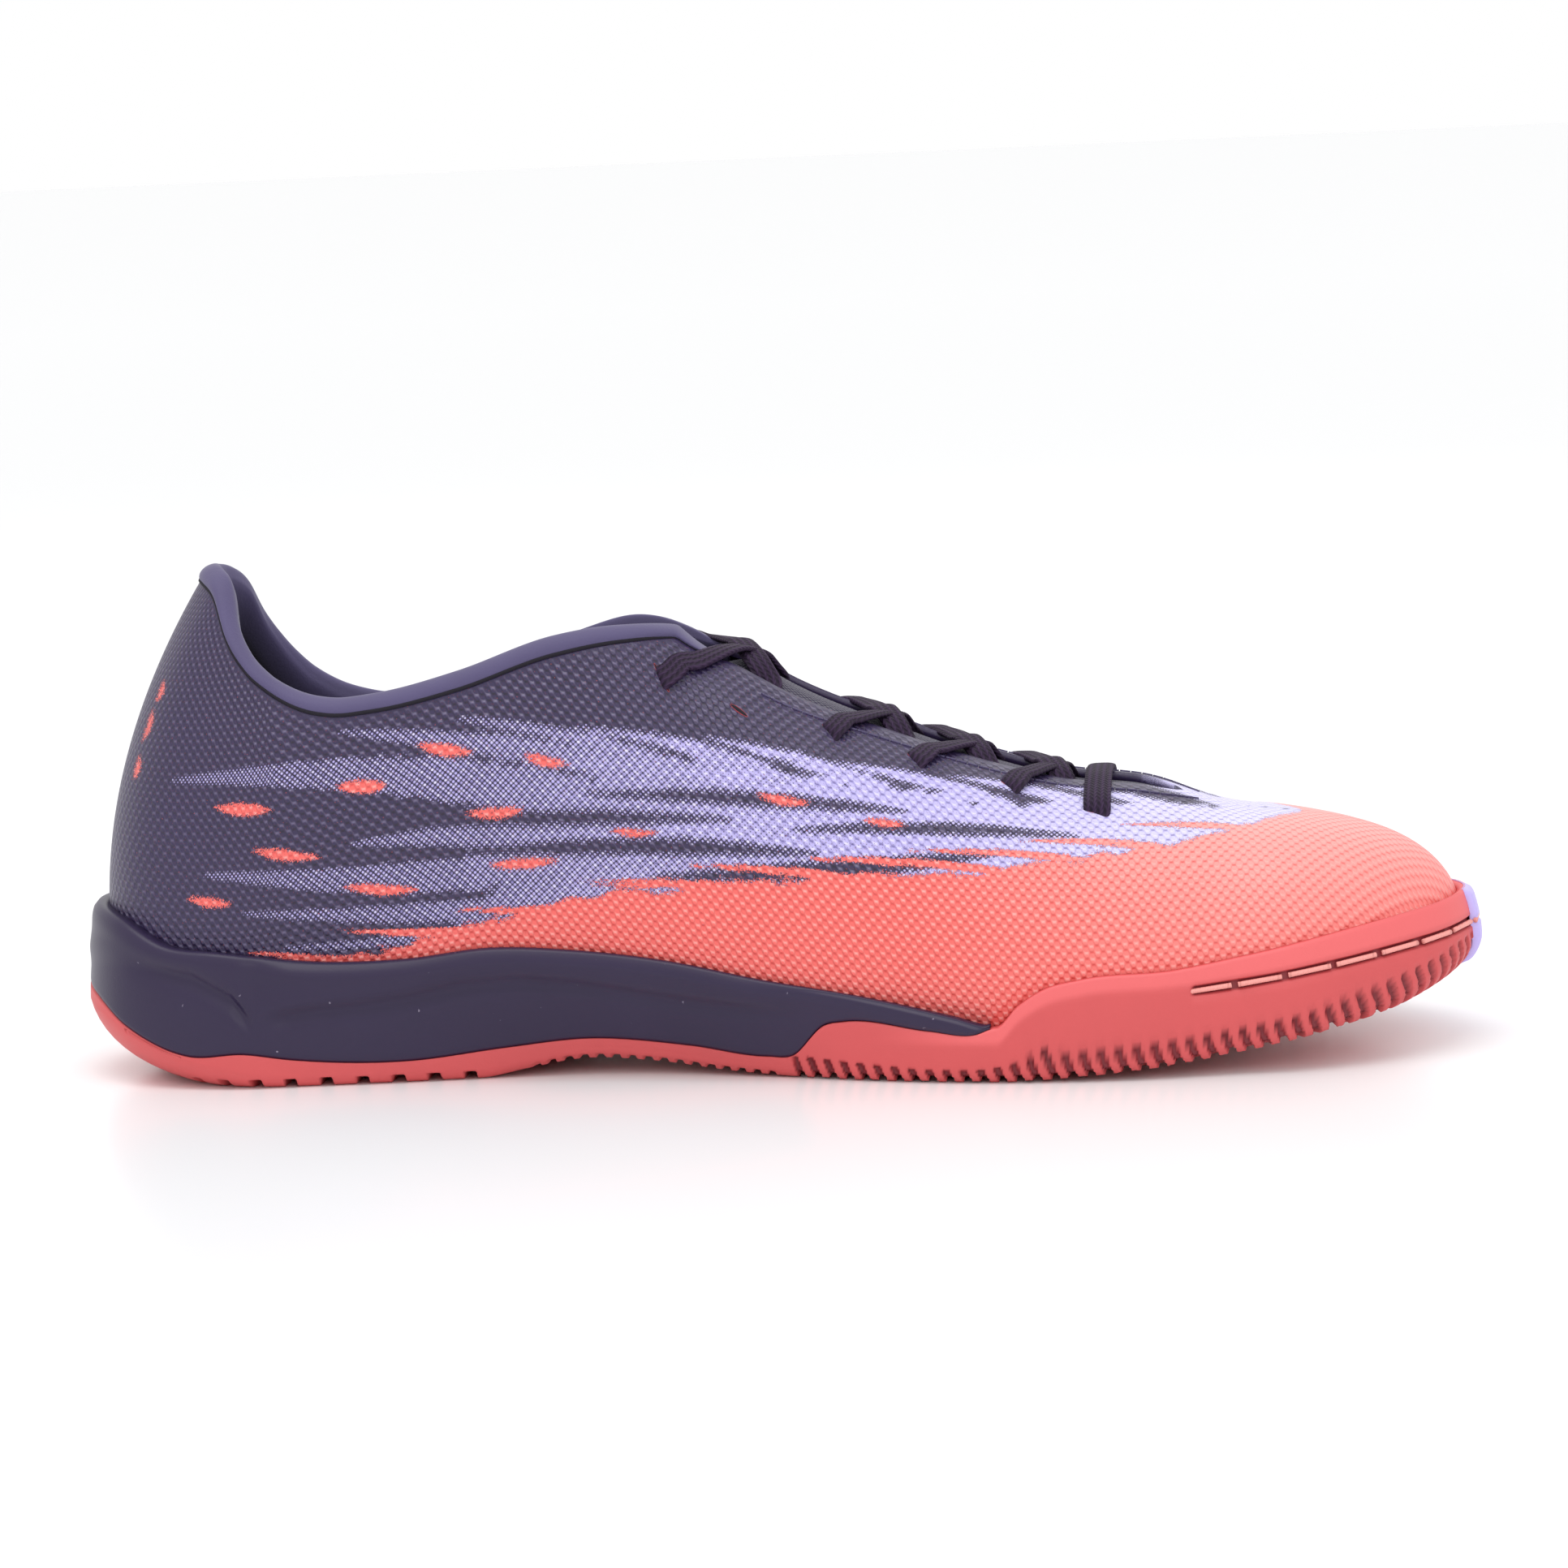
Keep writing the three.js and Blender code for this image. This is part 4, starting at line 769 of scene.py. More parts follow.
def tongue_share(px, py, tip_x, tip_y, root_x, root_y, half, bend, fleck=False):
    """How far inside a tapered tongue each chart point is: over 0.5 is inside, with a soft edge."""
    run = np.array([root_x - tip_x, root_y - tip_y], float)
    length = np.hypot(*run)
    run /= length
    t = ((px - tip_x) * run[0] + (py - tip_y) * run[1]) / length
    off = -(px - tip_x) * run[1] + (py - tip_y) * run[0]
    inside = np.clip(t, 0, 1)
    off = off - bend * np.sin(math.pi * inside)
    taper = np.sin(math.pi * inside) ** 0.8 if fleck else inside ** 0.75 * (1 - inside**5) ** 0.5
    ragged = (noise_at(px / 9, py / 5) - 0.5) * 0.5 * half * (0.3 + inside)
    reach = half * taper + ragged * taper
    share = (reach - np.abs(off)) / (7 if fleck else 4) + 0.5
    return np.where((t > 0) & (t < 1), np.clip(share, 0, 1), 0)


def print_fields(points):
    """Lavender and coral ink at each point of the upper, and a painted highlight that grows towards the toe and up
    over its top.
    """
    px, py = chart_of(points)
    wobble = (noise_at(px / 26, py / 14) - 0.5) * 18 + (noise_at(px / 8 + 9, py / 5) - 0.5) * 8
    top = np.interp(px, [a for a, _ in LAVENDER_TOP], [b for _, b in LAVENDER_TOP])
    top = top + np.clip(740 - px, 0, 220) * 0.9
    band = np.clip((py + wobble - top) / 4 + 0.5, 0, 1)
    lavender = band
    for tongue in LAVENDER_TONGUES:
        lavender = np.maximum(lavender, tongue_share(px, py, *tongue))
    for tongue in DARK_TONGUES:
        lavender = lavender * (1 - tongue_share(px, py, *tongue, fleck=True))
    lavender = lavender * np.clip((1215 - py) / 50, 0, 1) * np.clip((1720 - px) / 60, 0, 1)
    streak = 0.93 + 0.14 * noise_at(px / 60, py / 7 + 3)
    density = np.interp(px, [210, 480, 760, 960, 1120, 1250], [0.40, 0.55, 0.78, 0.9, 1.0, 1.05])
    lavender = np.clip(lavender * density * streak, 0, 1)
    edge = np.interp(px, [a for a, _ in CORAL_TOP], [b for _, b in CORAL_TOP])
    edge = edge + np.clip(360 - px, 0, 100) * 3
    coral = np.clip((py + 0.7 * wobble - edge) / 10 + 0.5, 0, 1)
    for tongue in CORAL_TONGUES:
        coral = np.maximum(coral, tongue_share(px, py, *tongue))
    for middle_x, middle_y, long, half, tilt in FLECKS:
        run_x = long * math.cos(math.radians(tilt))
        run_y = long * math.sin(math.radians(tilt))
        ends = (middle_x - run_x, middle_y - run_y, middle_x + run_x, middle_y + run_y)
        coral = np.maximum(coral, 0.9 * tongue_share(px, py, *ends, half, 2, fleck=True))
    # Painted highlight: paler towards the toe and up over its top, where light from above falls
    toe = smooth((px - 1080) / 500) * (0.35 + 0.65 * smooth((points[..., 2] - 24) / 30))
    relief = np.interp(px, [150, 260, 420, 900, 1300, 1500, 1750], [0.6, 0.75, 1.0, 1.0, 0.95, 0.8, 0.7])
    return lavender, coral, relief, toe


def upper_edge_step(ribs):
    """Top of the upper on each rib: the collar, the throat's edge or the spine."""
    collar = ribs.collar_step()
    half = throat_half(ribs.x) * np.sqrt(np.clip(1 - np.clip((ribs.x - THROAT_END + 4) / 5, 0, 1) ** 2, 0, 1))
    throat = np.where(half > 0.05, ribs.step_at_reach(np.maximum(half, 0.05)), 2.0)
    step = np.where(ribs.x < THROAT_START, collar, np.minimum(collar, throat))
    step = np.where(ribs.x > 141, throat, step)
    return np.where(ribs.x > THROAT_END + 1, 2.0, step)


def toe_arc(ribs, steps, start_arc):
    """Distance from the spine over the toe, measured square across the shoe at each point's own x."""
    reach, _ = ribs.skin(steps)
    ahead = reach * ribs.out_x
    aside = reach * np.abs(ribs.out_y)
    shares = np.linspace(0, 1, 25)
    total = np.zeros_like(reach)
    before = None
    for share in shares:
        across = aside * share
        distance = np.maximum(np.hypot(ahead, across), 1e-4)
        turn = np.arctan2(ahead, np.maximum(across, 1e-6))
        walked = TOE_CENTRE + TURN_RADIUS * turn - ALONG_START
        walk = np.where(ribs.side < 0, walked, 2 * HALF_ROUND - walked)
        near = Ribs(walk.ravel())
        flat = distance.ravel()
        _, height = near.skin(near.step_at_reach(np.minimum(flat, near.upper)))
        height = height.reshape(reach.shape)
        if before is not None:
            total += np.hypot(across - before[0], height - before[1])
        before = (across, height)
    return start_arc - total


def build_upper(looks):
    count = 660
    ribs = whole_loop(count)
    top = upper_edge_step(ribs)
    bottom = UPPER_FOOT
    steps = bottom + (top - bottom) * np.linspace(0, 1, 70)[:, None]
    rows = 84
    outer_steps = spread_evenly(steps, *ribs.skin(steps), rows)
    outer = ribs.point(*ribs.skin(outer_steps))

    # Print and emboss are laid out in millimetres: along the shoe, and up the skin from its widest place
    whole = np.linspace(bottom, 2, 90)[:, None] * np.ones(count)
    arc = walked_length(*ribs.skin(whole))
    height_up = read_ribs(outer_steps, whole, arc)
    level = height_up - read_ribs(np.ones((1, count)), whole, arc)
    fan = ribs.along > TOE_CENTRE
    u = np.where(fan, outer[..., 0], ribs.along)
    toe_ribs = Ribs(ribs.walk[fan])
    start = ribs_at([TOE_CENTRE, TOE_CENTRE], [-1, 1])
    spans = walked_length(*start.skin(np.linspace(1, 2, 60)[:, None] * np.ones(2)))[-1]
    start_arc = np.where(toe_ribs.side < 0, spans[0], spans[1])
    level[:, fan] = toe_arc(toe_ribs, outer_steps[:, fan], start_arc)
    uv = np.stack([u, level], -1)

    # The emboss fades out towards the open edges
    lavender, coral, relief, toe = print_fields(outer)
    from_edge = read_ribs(top[None], whole, arc) - height_up
    relief = relief * np.where(ribs.x < THROAT_END, smooth(from_edge / 3), 1)

    inner_rows = 22
    inner_steps = top + (bottom - top) * np.linspace(0, 1, inner_rows)[:, None]
    inner_reach, inner_height = ribs.skin_out(inner_steps, -UPPER_WALL)
    inner = ribs.point(np.maximum(inner_reach, 0), inner_height)
    points = np.concatenate([outer, inner])
    total_rows = rows + inner_rows
    faces = grid_faces(total_rows, count)
    last = (total_rows - 1) * count
    faces += [[last + i, last + (i + 1) % count, (i + 1) % count, i] for i in range(count)]
    inside = np.arange(len(faces)) >= rows * count

    # Over the toe the two halves meet, so there the edge between outer and inner skin is left out
    closed = top >= 2.0
    kept = np.ones(len(faces), bool)
    kept[(rows - 1) * count:rows * count] = ~(closed & np.roll(closed, -1))
    faces = [face for face, keep in zip(faces, kept) if keep]

    def fill(field):
        return np.concatenate([field, np.zeros((inner_rows, count))])

    inner_uv = np.zeros((inner_rows, count, 2))
    piece = make_piece(
        "upper_shell", points, faces, [printed_upper(looks), lining_cloth()],
        uv=np.concatenate([uv, inner_uv]),
        fields={"lavender": fill(lavender), "coral": fill(coral), "relief": fill(relief), "toe": fill(toe)},
        face_material=inside[kept])
    finish_piece(piece, "upper", "upper")


def finish_piece(piece, slot, *nodes):
    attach(piece, "root")
    if nodes:
        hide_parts(*nodes)


# Cross-section of the padded collar: lift over the edge (up to 1 by roll height, below 0 by depth),
# distance in from the skin in walls and in pads
COLLAR_SECTION = [
    (-0.035, -0.06, 0), (0.12, -0.2, 0), (0.4, -0.24, 0), (0.72, -0.02, 0), (0.93, 0.4, 0), (1.03, 0.8, 0.02),
    (1.03, 1, 0.08), (0.93, 1, 0.17), (0.74, 1, 0.25), (0.46, 1, 0.32), (0.16, 1, 0.39), (-0.03, 1, 0.47),
    (-0.12, 1, 0.62), (-0.25, 1, 0.8), (-0.4, 1, 0.92), (-0.55, 1, 0.86), (-0.7, 1, 0.66), (-0.83, 1, 0.4),
    (-0.94, 1, 0.16), (-1.0, 1.1, 0.0), (-1.0, 0.9, 0), (-0.7, 0.9, 0), (-0.3, 0.9, 0), (-0.05, 0.8, 0),
    (-0.035, 0.4, 0),
]


def build_collar(looks):
    count = 420
    ribs = heel_loop(COLLAR_FRONT, count)
    throat_edge = np.where(ribs.x < THROAT_START, 2, ribs.step_at_reach(throat_half(ribs.x)))
    edge = np.minimum(ribs.collar_step(), throat_edge)
    edge_reach, edge_height = ribs.skin(edge)
    shifted, _ = ribs.skin_out(edge, -1)
    level = np.maximum(edge_reach - shifted, 0.35)
    depth = curve_through([0, 98, 116, 126, COLLAR_FRONT], [LINING_DEPTH, LINING_DEPTH, 14, 5, 2.5])(ribs.x)
    pad = curve_through([0, 100, 116, 126, COLLAR_FRONT], [4.2, 4.2, 2.8, 1.5, 0.8])(ribs.x)
    roll = curve_through([46, 60, 116, 128, COLLAR_FRONT], [3.1, 3.1, 3.0, 2.0, 0.5])(ribs.x)
    sections = np.empty((count, len(COLLAR_SECTION), 3))
    for j, (lift, wall, share) in enumerate(COLLAR_SECTION):
        inset = wall * UPPER_WALL + share * pad
        if lift > -0.04:
            rise = lift * roll if lift > 0 else lift * 14
            reach = edge_reach - inset / np.where(ribs.x > 120, np.maximum(level, 0.6), level) - 0.2 * lift * roll
            sections[:, j] = ribs.point(reach, edge_height + rise)
        else:
            step = ribs.step_at_height(edge_height + lift * depth)
            reach, height = ribs.skin_out(step, -inset)
            sections[:, j] = ribs.point(reach, height)
    # How far down the inside of the collar each point lies, which sets the knit's painted shade
    drop = np.array([max(-lift, 0) if wall == 1 else 0.0 for lift, wall, _ in COLLAR_SECTION])
    inside_shade = np.broadcast_to(drop, (count, len(drop))) * (depth / LINING_DEPTH)[:, None]
    piece = sweep("padded_collar", sections, [collar_knit(looks)], fields={"inside_shade": inside_shade})
    add_subdivision(piece, 1)
    finish_piece(piece, "lining", "collar_lining")

    # The seam between the roll and the upper's edge, as a thin cord of painted shade
    keep = ribs.x < COLLAR_FRONT - 1
    reach, height = edge_reach[keep], edge_height[keep]
    near = Ribs(ribs.walk[keep])
    cord_sections = []
    for angle in np.linspace(0, 2 * math.pi, 9)[:-1]:
        out = 0.45 * math.cos(angle) + 0.1
        rise = 0.45 * math.sin(angle) - 0.1
        cord_sections.append(near.point(reach + out, height + rise))
    seam = sweep("collar_seam", np.stack(cord_sections, 1), [dark_gap()])
    finish_piece(seam, "lining")


def add_subdivision(piece, levels):
    modifier = piece.modifiers.new("finish", "SUBSURF")
    modifier.levels = levels
    modifier.render_levels = levels


def build_tongue():
    half_width = line_of(TONGUE_LINE, THROAT_HALF_WIDTH)
    top_line = line_of(TONGUE_TOP_LINE, INSTEP_HEIGHT)
    start = TONGUE_LINE[0][0] * SHOE_LENGTH
    end = TONGUE_LINE[-1][0] * SHOE_LENGTH
    throat_start = TONGUE_TOP_LINE[-1][0] * SHOE_LENGTH
    x = np.linspace(start, end, 90)
    across = np.sin(np.linspace(-math.pi / 2, math.pi / 2, 25))
    crown = np.where(x < throat_start, top_line(x), np.nan)
    depth = UPPER_WALL + 2 * SLIP
    thick = 3.0
    sections = []
    uv = []
    for i, place in enumerate(x):
        round_end = math.sqrt(1 - (1 - min((place - start) / 2.2 + 0.05, 1)) ** 2)
        offsets = across * half_width(place) * (0.75 + 0.25 * round_end)
        edge = np.sqrt(np.clip(1 - across**2, 0, 1)) * 0.5 + 0.5
        level = np.full(len(offsets), place)
        peak = np.full(len(offsets), crown[i])
        raised = 1.3 * np.exp(-(offsets / 6.5) ** 4) * smooth((place - 126) / 8)
        middle = depth + thick / 2 - raised
        swell = thick / 2 * edge * (0.4 + 0.6 * round_end)
        over = skin_points(level, offsets, -(middle - swell), peak)
        under = skin_points(level, offsets, -(middle + swell), peak)[::-1]
        sections.append(np.concatenate([over, under]))
        uv.append(np.stack([np.full(50, place), np.concatenate([offsets, offsets[::-1]])], -1))
    piece = sweep("knit_tongue", sections, [tongue_knit()], uv=np.array(uv))
    finish_piece(piece, "tongue", "tongue")


def build_insole():
    count = 240
    ribs = whole_loop(count)
    outline = ribs.feather - SLIP
    rows = []
    for share, lift in ((0.1, 0.02), (0.9, 0.02), (1, 0.3), (1, 3.0), (0.985, 3.9), (0.95, 3.8), (0.85, 3.45),
                        (0.5, 3.4), (0.1, 3.4)):
        rows.append(ribs.point(outline * share, ribs.floor + lift))
    points = np.array(rows)
    faces = grid_faces(len(rows), count)
    faces += strip_cap(0, count)
    faces += strip_cap((len(rows) - 1) * count, count)
    piece = make_piece("insole_board", points, faces, [insole_cloth()])
    finish_piece(piece, "insole", "insole")


# Sole
def sole_profile(ribs):
    """Rim and wall of the sole on each rib: samples from the ground's edge up to the cap."""
    run = SOLE_EDGE + ribs.roll * HEEL_ROLL
    rise = SOLE_EDGE + ribs.roll * (SOLE_SIDE_HEIGHT * 0.4)
    rim_x = ribs.x + ribs.out_x * ribs.sole
    ground = ground_height(ribs.x + ribs.out_x * (ribs.sole - run))
    ground_rim = ground_height(rim_x)
    reaches = []
    heights = []
    for degrees in np.linspace(0, 90, 13):
        angle = math.radians(degrees)
        share = degrees / 90
        out = share + (math.sin(angle) - share) * EDGE_ROUNDNESS
        up = share + (1 - math.cos(angle) - share) * EDGE_ROUNDNESS
        reaches.append(ribs.sole - run + run * out)
        heights.append(ground + (ground_rim - ground) * share + rise * up)
    cap = sole_cap(rim_x)
    top_reach, _ = ribs.skin_out(ribs.step_at_height(cap), SOLE_LIP)
    edge_reach, edge_height = reaches[-1], heights[-1]
    middle_reach = (edge_reach + top_reach) / 2 + WALL_BULGE
    for t in np.linspace(0, 1, 15)[1:]:
        low, mid, high = 2 * (t - 0.5) * (t - 1), -4 * t * (t - 1), 2 * t * (t - 0.5)
        reaches.append(low * edge_reach + mid * middle_reach + high * top_reach)
        heights.append(edge_height + (cap - edge_height) * t)
    return np.array(reaches), np.array(heights)


def profile_at(reach, height, wanted):
    """Reach of each rib's wall at wanted heights, given as rows."""
    return read_ribs(wanted, np.maximum.accumulate(height), reach)


def rim_lengths(ribs):
    """Walked length along the sole's rim, from the heel's back on each side."""
    rim = ribs.point(ribs.sole, np.zeros(len(ribs.walk)))
    step = np.linalg.norm(np.diff(rim, axis=0, append=rim[:1]), axis=1)
    walked = np.concatenate([[0], np.cumsum(step)[:-1]])
    round_length = step.sum()
    return np.where(ribs.side < 0, walked, round_length - walked)


def groove(place, pitch, width, soft=0.25):
    """1 inside grooves a pitch apart, 0 between them, with soft edges."""
    off = np.abs((place / pitch + 0.5) % 1 - 0.5) * pitch
    return smooth((width / 2 - off) / soft + 0.5)


def wall_top(x):
    return np.where(x < MIDSOLE_END, colour_split(x), rand_top(x))


def build_outsole(looks):
    count = 1840
    ribs = whole_loop(count)
    reach, height = sole_profile(ribs)
    rim_x = ribs.x + ribs.out_x * ribs.sole
    top = wall_top(rim_x)
    run = SOLE_EDGE + ribs.roll * HEEL_ROLL
    walked = rim_lengths(ribs)
    rows = []
    for share in (0.06, 0.3, 0.55, 0.75, 0.88):
        here = (ribs.sole - run) * share
        rows.append((here, ground_height(ribs.x + ribs.out_x * here)))
    for k in range(0, 13):
        rows.append((reach[k], np.minimum(height[k], top - 0.4 + 0.02 * k)))
    edge_height = np.minimum(height[12], top - 0.3)
    span = top - edge_height
    seam = np.clip(rand_top(rim_x) - stitch_drop(rim_x), edge_height + 0.35 * span, edge_height + 0.75 * span)
    size = np.minimum(1, span / 9)
    low = [edge_height + (seam - 1.3 * size - edge_height) * t for t in np.linspace(0, 1, 7)[1:-1]]
    middle = [seam + offset * size for offset in (-1.3, -1.0, -0.7, 0, 0.7, 1.0, 1.3)]
    high = [seam + 1.3 * size + (top - seam - 1.3 * size) * t for t in (0.2, 0.4, 0.6, 0.8, 0.97)]
    wanted = np.array(low + middle + high)
    wall = profile_at(reach, height, wanted)
    for k in range(len(wanted)):
        rows.append((wall[k], wanted[k]))
    outer_rows = len(rows)
    outline = np.array([row[0] for row in rows])
    level = np.array([row[1] for row in rows])

    # Ribs of the forefoot's side, long and slanting at the toe, and stepped on the arch and heel
    x_here = ribs.x + ribs.out_x * outline
    slanted = walked + (level - ground_height(x_here)) * 0.36
    rib_height = np.interp(rim_x, [148, 154, 178, 186, 193, 200, 215, 240, 286],
                           [4.6, 4.4, 2.6, 2.6, 3.4, 6.2, 5.4, 5.2, 6.2])
    above = level - ground_height(rim_x)
    deep = smooth((rib_height - above) / 0.6 + 0.5) * smooth((rim_x - 149.5) / 1.5)
    under = smooth((outline - (ribs.sole - run - 7)) / 2)
    cut = groove(slanted, 3.5, 1.5) * deep * under
    on_wall = np.arange(outer_rows)[:, None] >= 5
    outline = outline - 1.3 * cut * on_wall
    level = level + 1.0 * cut * (above < 1.2) * on_wall
    heel = groove(walked, 7.3, 2.5) * smooth((88 - rim_x) / 1) * smooth((outline - (ribs.sole - run - 12)) / 2)
    arch = groove(walked, 3.3, 1.6) * smooth((rim_x - 95) / 4) * smooth((148 - rim_x) / 3) * (above < 1.4)
    near_ground = smooth((1.9 - above) / 0.7)
    level = level + 1.7 * heel * near_ground + 0.7 * arch * smooth((1.2 - above) / 0.5)
    lugs = groove(x_here - 156.96, 10, 3, 0.5) * smooth((x_here - 152) / 1) * smooth((268 - x_here) / 1)
    bottom = (np.arange(outer_rows)[:, None] <= 7) * 1.0
    level = level + 1.4 * lugs * bottom

    # The groove that the toe stitch lies in
    depth = stitch_drop(rim_x)
    near = np.abs(level - (rand_top(rim_x) - depth))
    channel = smooth((0.95 - near) / 0.4 + 0.5) * smooth((rim_x - STITCH_START + 1) / 1.2)
    outline = outline - 1.0 * channel * on_wall
    # Painted shade in the rib slots and the stitch's groove, and a painted highlight on the lip above the groove
    shade = np.clip(cut * on_wall + 0.9 * channel * on_wall, 0, 1)
    drop = rand_top(rim_x) - stitch_drop(rim_x) + 1.2
    lip = smooth((level - drop) / 2 + 0.5) * smooth((rim_x - 165) / 25)
    points = [ribs.point(outline[k], level[k]) for k in range(outer_rows)]

    lip_step = ribs.step_at_height(np.maximum(top, ribs.floor))
    for share in (0, 0.35, 0.7, 1):
        inner_reach, inner_height = ribs.skin_out(lip_step * (1 - share), SLIP)
        inner_reach = np.minimum(inner_reach, outline[-1] - 0.4)
        points.append(ribs.point(inner_reach, np.minimum(inner_height, top)))
    points.append(ribs.point(ribs.feather * 0.06, np.minimum(ribs.floor - SLIP, top)))
    total = len(points)
    faces = grid_faces(total, count)
    faces += strip_cap(0, count)
    faces += strip_cap((total - 1) * count, count)
    hidden = np.zeros((total - outer_rows, count))
    piece = make_piece("rubber_outsole", np.array(points), faces, [coral_rubber(looks)],
                       fields={"lip": np.vstack([lip, hidden]), "cut": np.vstack([shade, hidden])})
    finish_piece(piece, "outsole", "outsole")


def stitch_drop(x):
    """How far below the rand's top edge the toe stitch runs."""
    return np.interp(x, [225, 240, 262, 280, 290], [4.2, 5.2, 6.2, 6.6, 6.6])


# Soft forms pressed into the side of the midsole, on the side chart
CREASE = [(300, 1262), (379, 1246), (443, 1239), (506, 1229), (569, 1213), (638, 1207), (707, 1212), (810, 1228),
          (913, 1242), (999, 1249), (1080, 1254)]
HEEL_LOBE = [(120, 1190), (180, 1196), (235, 1210), (283, 1236), (312, 1268)]


def line_offset(px, py, line):
    return py - np.interp(px, [a for a, _ in line], [b for _, b in line])


def build_midsole(looks):
    ribs = heel_loop(MIDSOLE_END - 1.0, 900)
    reach, height = sole_profile(ribs)
    rim_x = ribs.x + ribs.out_x * ribs.sole
    top = midsole_top(rim_x)
    foot = colour_split(rim_x) + 0.12
    top = np.maximum(top, foot + 0.5)
    shares = np.linspace(0, 1, 34)[:, None]
    wanted = foot + (top - foot) * shares
    wall = profile_at(reach, height, wanted)
    px, py = chart_of(ribs.point(wall, wanted))
    below = line_offset(px, py, CREASE)
    along = smooth((px - 310) / 50) * smooth((1010 - px) / 120)
    proud = smooth(-below / 26 + 0.5) * along * smooth((top - wanted) / 3)
    crease = np.exp(-((below - 2) / 9) ** 2) * along
    lobe = line_offset(px, py, HEEL_LOBE)
    lobe_along = smooth((320 - px) / 30)
    lobe_crease = np.exp(-(lobe / 11) ** 2) * lobe_along * smooth((px - 150) / 60)
    swell = smooth(-lobe / 30) * lobe_along
    from_top = top - wanted
    lip = np.exp(-((from_top - 2.2) / 2.2) ** 2) * 0.35
    edge_round = smooth(1 - from_top / 1.0)
    foot_round = smooth(1 - (wanted - foot) / 0.8)
    thick = smooth((top - foot) / 3)
    shape = 1.0 * proud - 0.9 * crease - 1.1 * lobe_crease + 0.6 * swell + lip
    wall = wall + shape * thick - 0.5 * edge_round - 0.35 * foot_round
    rows = [ribs.point(wall[k], wanted[k]) for k in range(len(shares))]
    top_step = ribs.step_at_height(np.maximum(top, ribs.floor + 0.2))
    inner_top, _ = ribs.skin_out(top_step, 0.1)
    inner_top = np.minimum(inner_top, wall[-1] - 0.5)
    rows.append(ribs.point(inner_top, top - 0.05))
    inner_low = np.minimum(ribs.feather, inner_top)
    rows.append(ribs.point(inner_low, np.minimum(np.maximum(foot + 0.2, ribs.floor - 0.5), top - 0.1)))
    rows.append(ribs.point(inner_low, foot))
    sections = np.stack(rows, 1)
    piece = sweep("foam_midsole", sections, [plum_foam(looks)])
    finish_piece(piece, "midsole", "midsole")


def build_toe_guard():
    inner = math.radians(GUARD_INNER_TURN)
    outer = math.radians(GUARD_OUTER_TURN)
    quarter = TURN_RADIUS * math.pi / 2
    count = 120
    ribs = Ribs(np.linspace(HALF_ROUND - (quarter - TURN_RADIUS * inner),
                            HALF_ROUND + (quarter - TURN_RADIUS * outer), count))
    order = np.arange(count)
    proud = 1.3 * smooth(np.minimum(order, order[::-1]) / 3 + 0.25)
    rim_x = ribs.x + ribs.out_x * ribs.sole
    top = rand_top(rim_x) - 0.2
    reach, height = sole_profile(ribs)
    first = height[4]
    shares = np.linspace(0, 1, 26)[:, None]
    wanted = first + (top - first) * shares
    wall = profile_at(reach, height, wanted)
    fade = smooth(np.minimum(shares, 1 - shares) / 0.07 + 0.2)
    depth = np.abs(wanted - (rand_top(rim_x) - stitch_drop(rim_x)))
    channel = 0.5 * smooth(1 - depth / 0.9)
    rows = [ribs.point(wall[k] + proud * fade[k] - channel[k], wanted[k]) for k in range(len(shares))]
    rows += [ribs.point(wall[k] - 0.35, wanted[k]) for k in range(len(shares) - 1, -1, -1)]
    piece = sweep("lavender_toe_guard", np.stack(rows, 1), [lavender_rubber()])
    finish_piece(piece, "toe_guard", "toe_guard")


# Lace
def bend_through(points, per_span):
    """A smooth path through points (Catmull-Rom), with a few samples for each span."""
    points = np.asarray(points, float)
    padded = np.vstack([2 * points[0] - points[1], points, 2 * points[-1] - points[-2]])
    out = []
    for i in range(len(points) - 1):
        a, b, c, d = padded[i:i + 4]
        for t in np.linspace(0, 1, per_span, endpoint=False):
            out.append(0.5 * (2 * b + (c - a) * t + (2 * a - 5 * b + 4 * c - d) * t**2
                              + (3 * b - a - 3 * c + d) * t**3))
    out.append(points[-1])
    return np.array(out)


def lace_path(side, over_first):
    """Control rows for one half of the lace, from the middle of the lowest bar to its hidden end."""
    lowest_x, lowest_y = LOWEST_EYELET
    rows = [(lowest_x, 0, 0.85), (lowest_x, side * lowest_y * 0.35, 0.85), (lowest_x, side * lowest_y * 0.7, 0.85),
            (lowest_x, side * (lowest_y - 2.2), 0.9), (lowest_x, side * (lowest_y - 0.2), 0.1),
            (lowest_x - 0.5, side * (lowest_y + 0.3), -1.9), (lowest_x - 2.5, side * (lowest_y - 1.8), -3.1),
            (lowest_x - 5, side * (lowest_y - 6), -3.1)]
    here = side
    over = over_first
    for x, spread, forward in LACED_EYELETS[::-1]:
        far = x + forward
        hump = 1.0 if over else 0.0
        rows += [(far + 0.8, here * 10.5, -3.1), (far, here * 7.0, -1.6), (far - forward * 0.12, here * 4.4, 0.55)]
        for t in (0.3, 0.42, 0.54, 0.68, 0.82):
            y = 6.5 - (spread + 4.9) * t - 0.19 * forward * math.sin(math.pi * max(t - 0.2, 0) / 0.75)
            rows.append((far - forward * t, here * y, 0.65 + hump * math.exp(-((y - 0.5) / 3.2) ** 2)))
        here = -here
        rows += [(x + 0.09 * forward, here * (spread - 1.5), 0.58), (x + 0.2, here * (spread - 0.1), 0.12),
                 (x - 0.5, here * (spread + 0.3), -1.9), (x - 2.3, here * (spread - 1.5), -3.1),
                 (x - 4.5, here * (spread - 5), -3.1)]
        over = not over
    # The lace ends inside the wall at the top eyelets
    return rows[:-2]


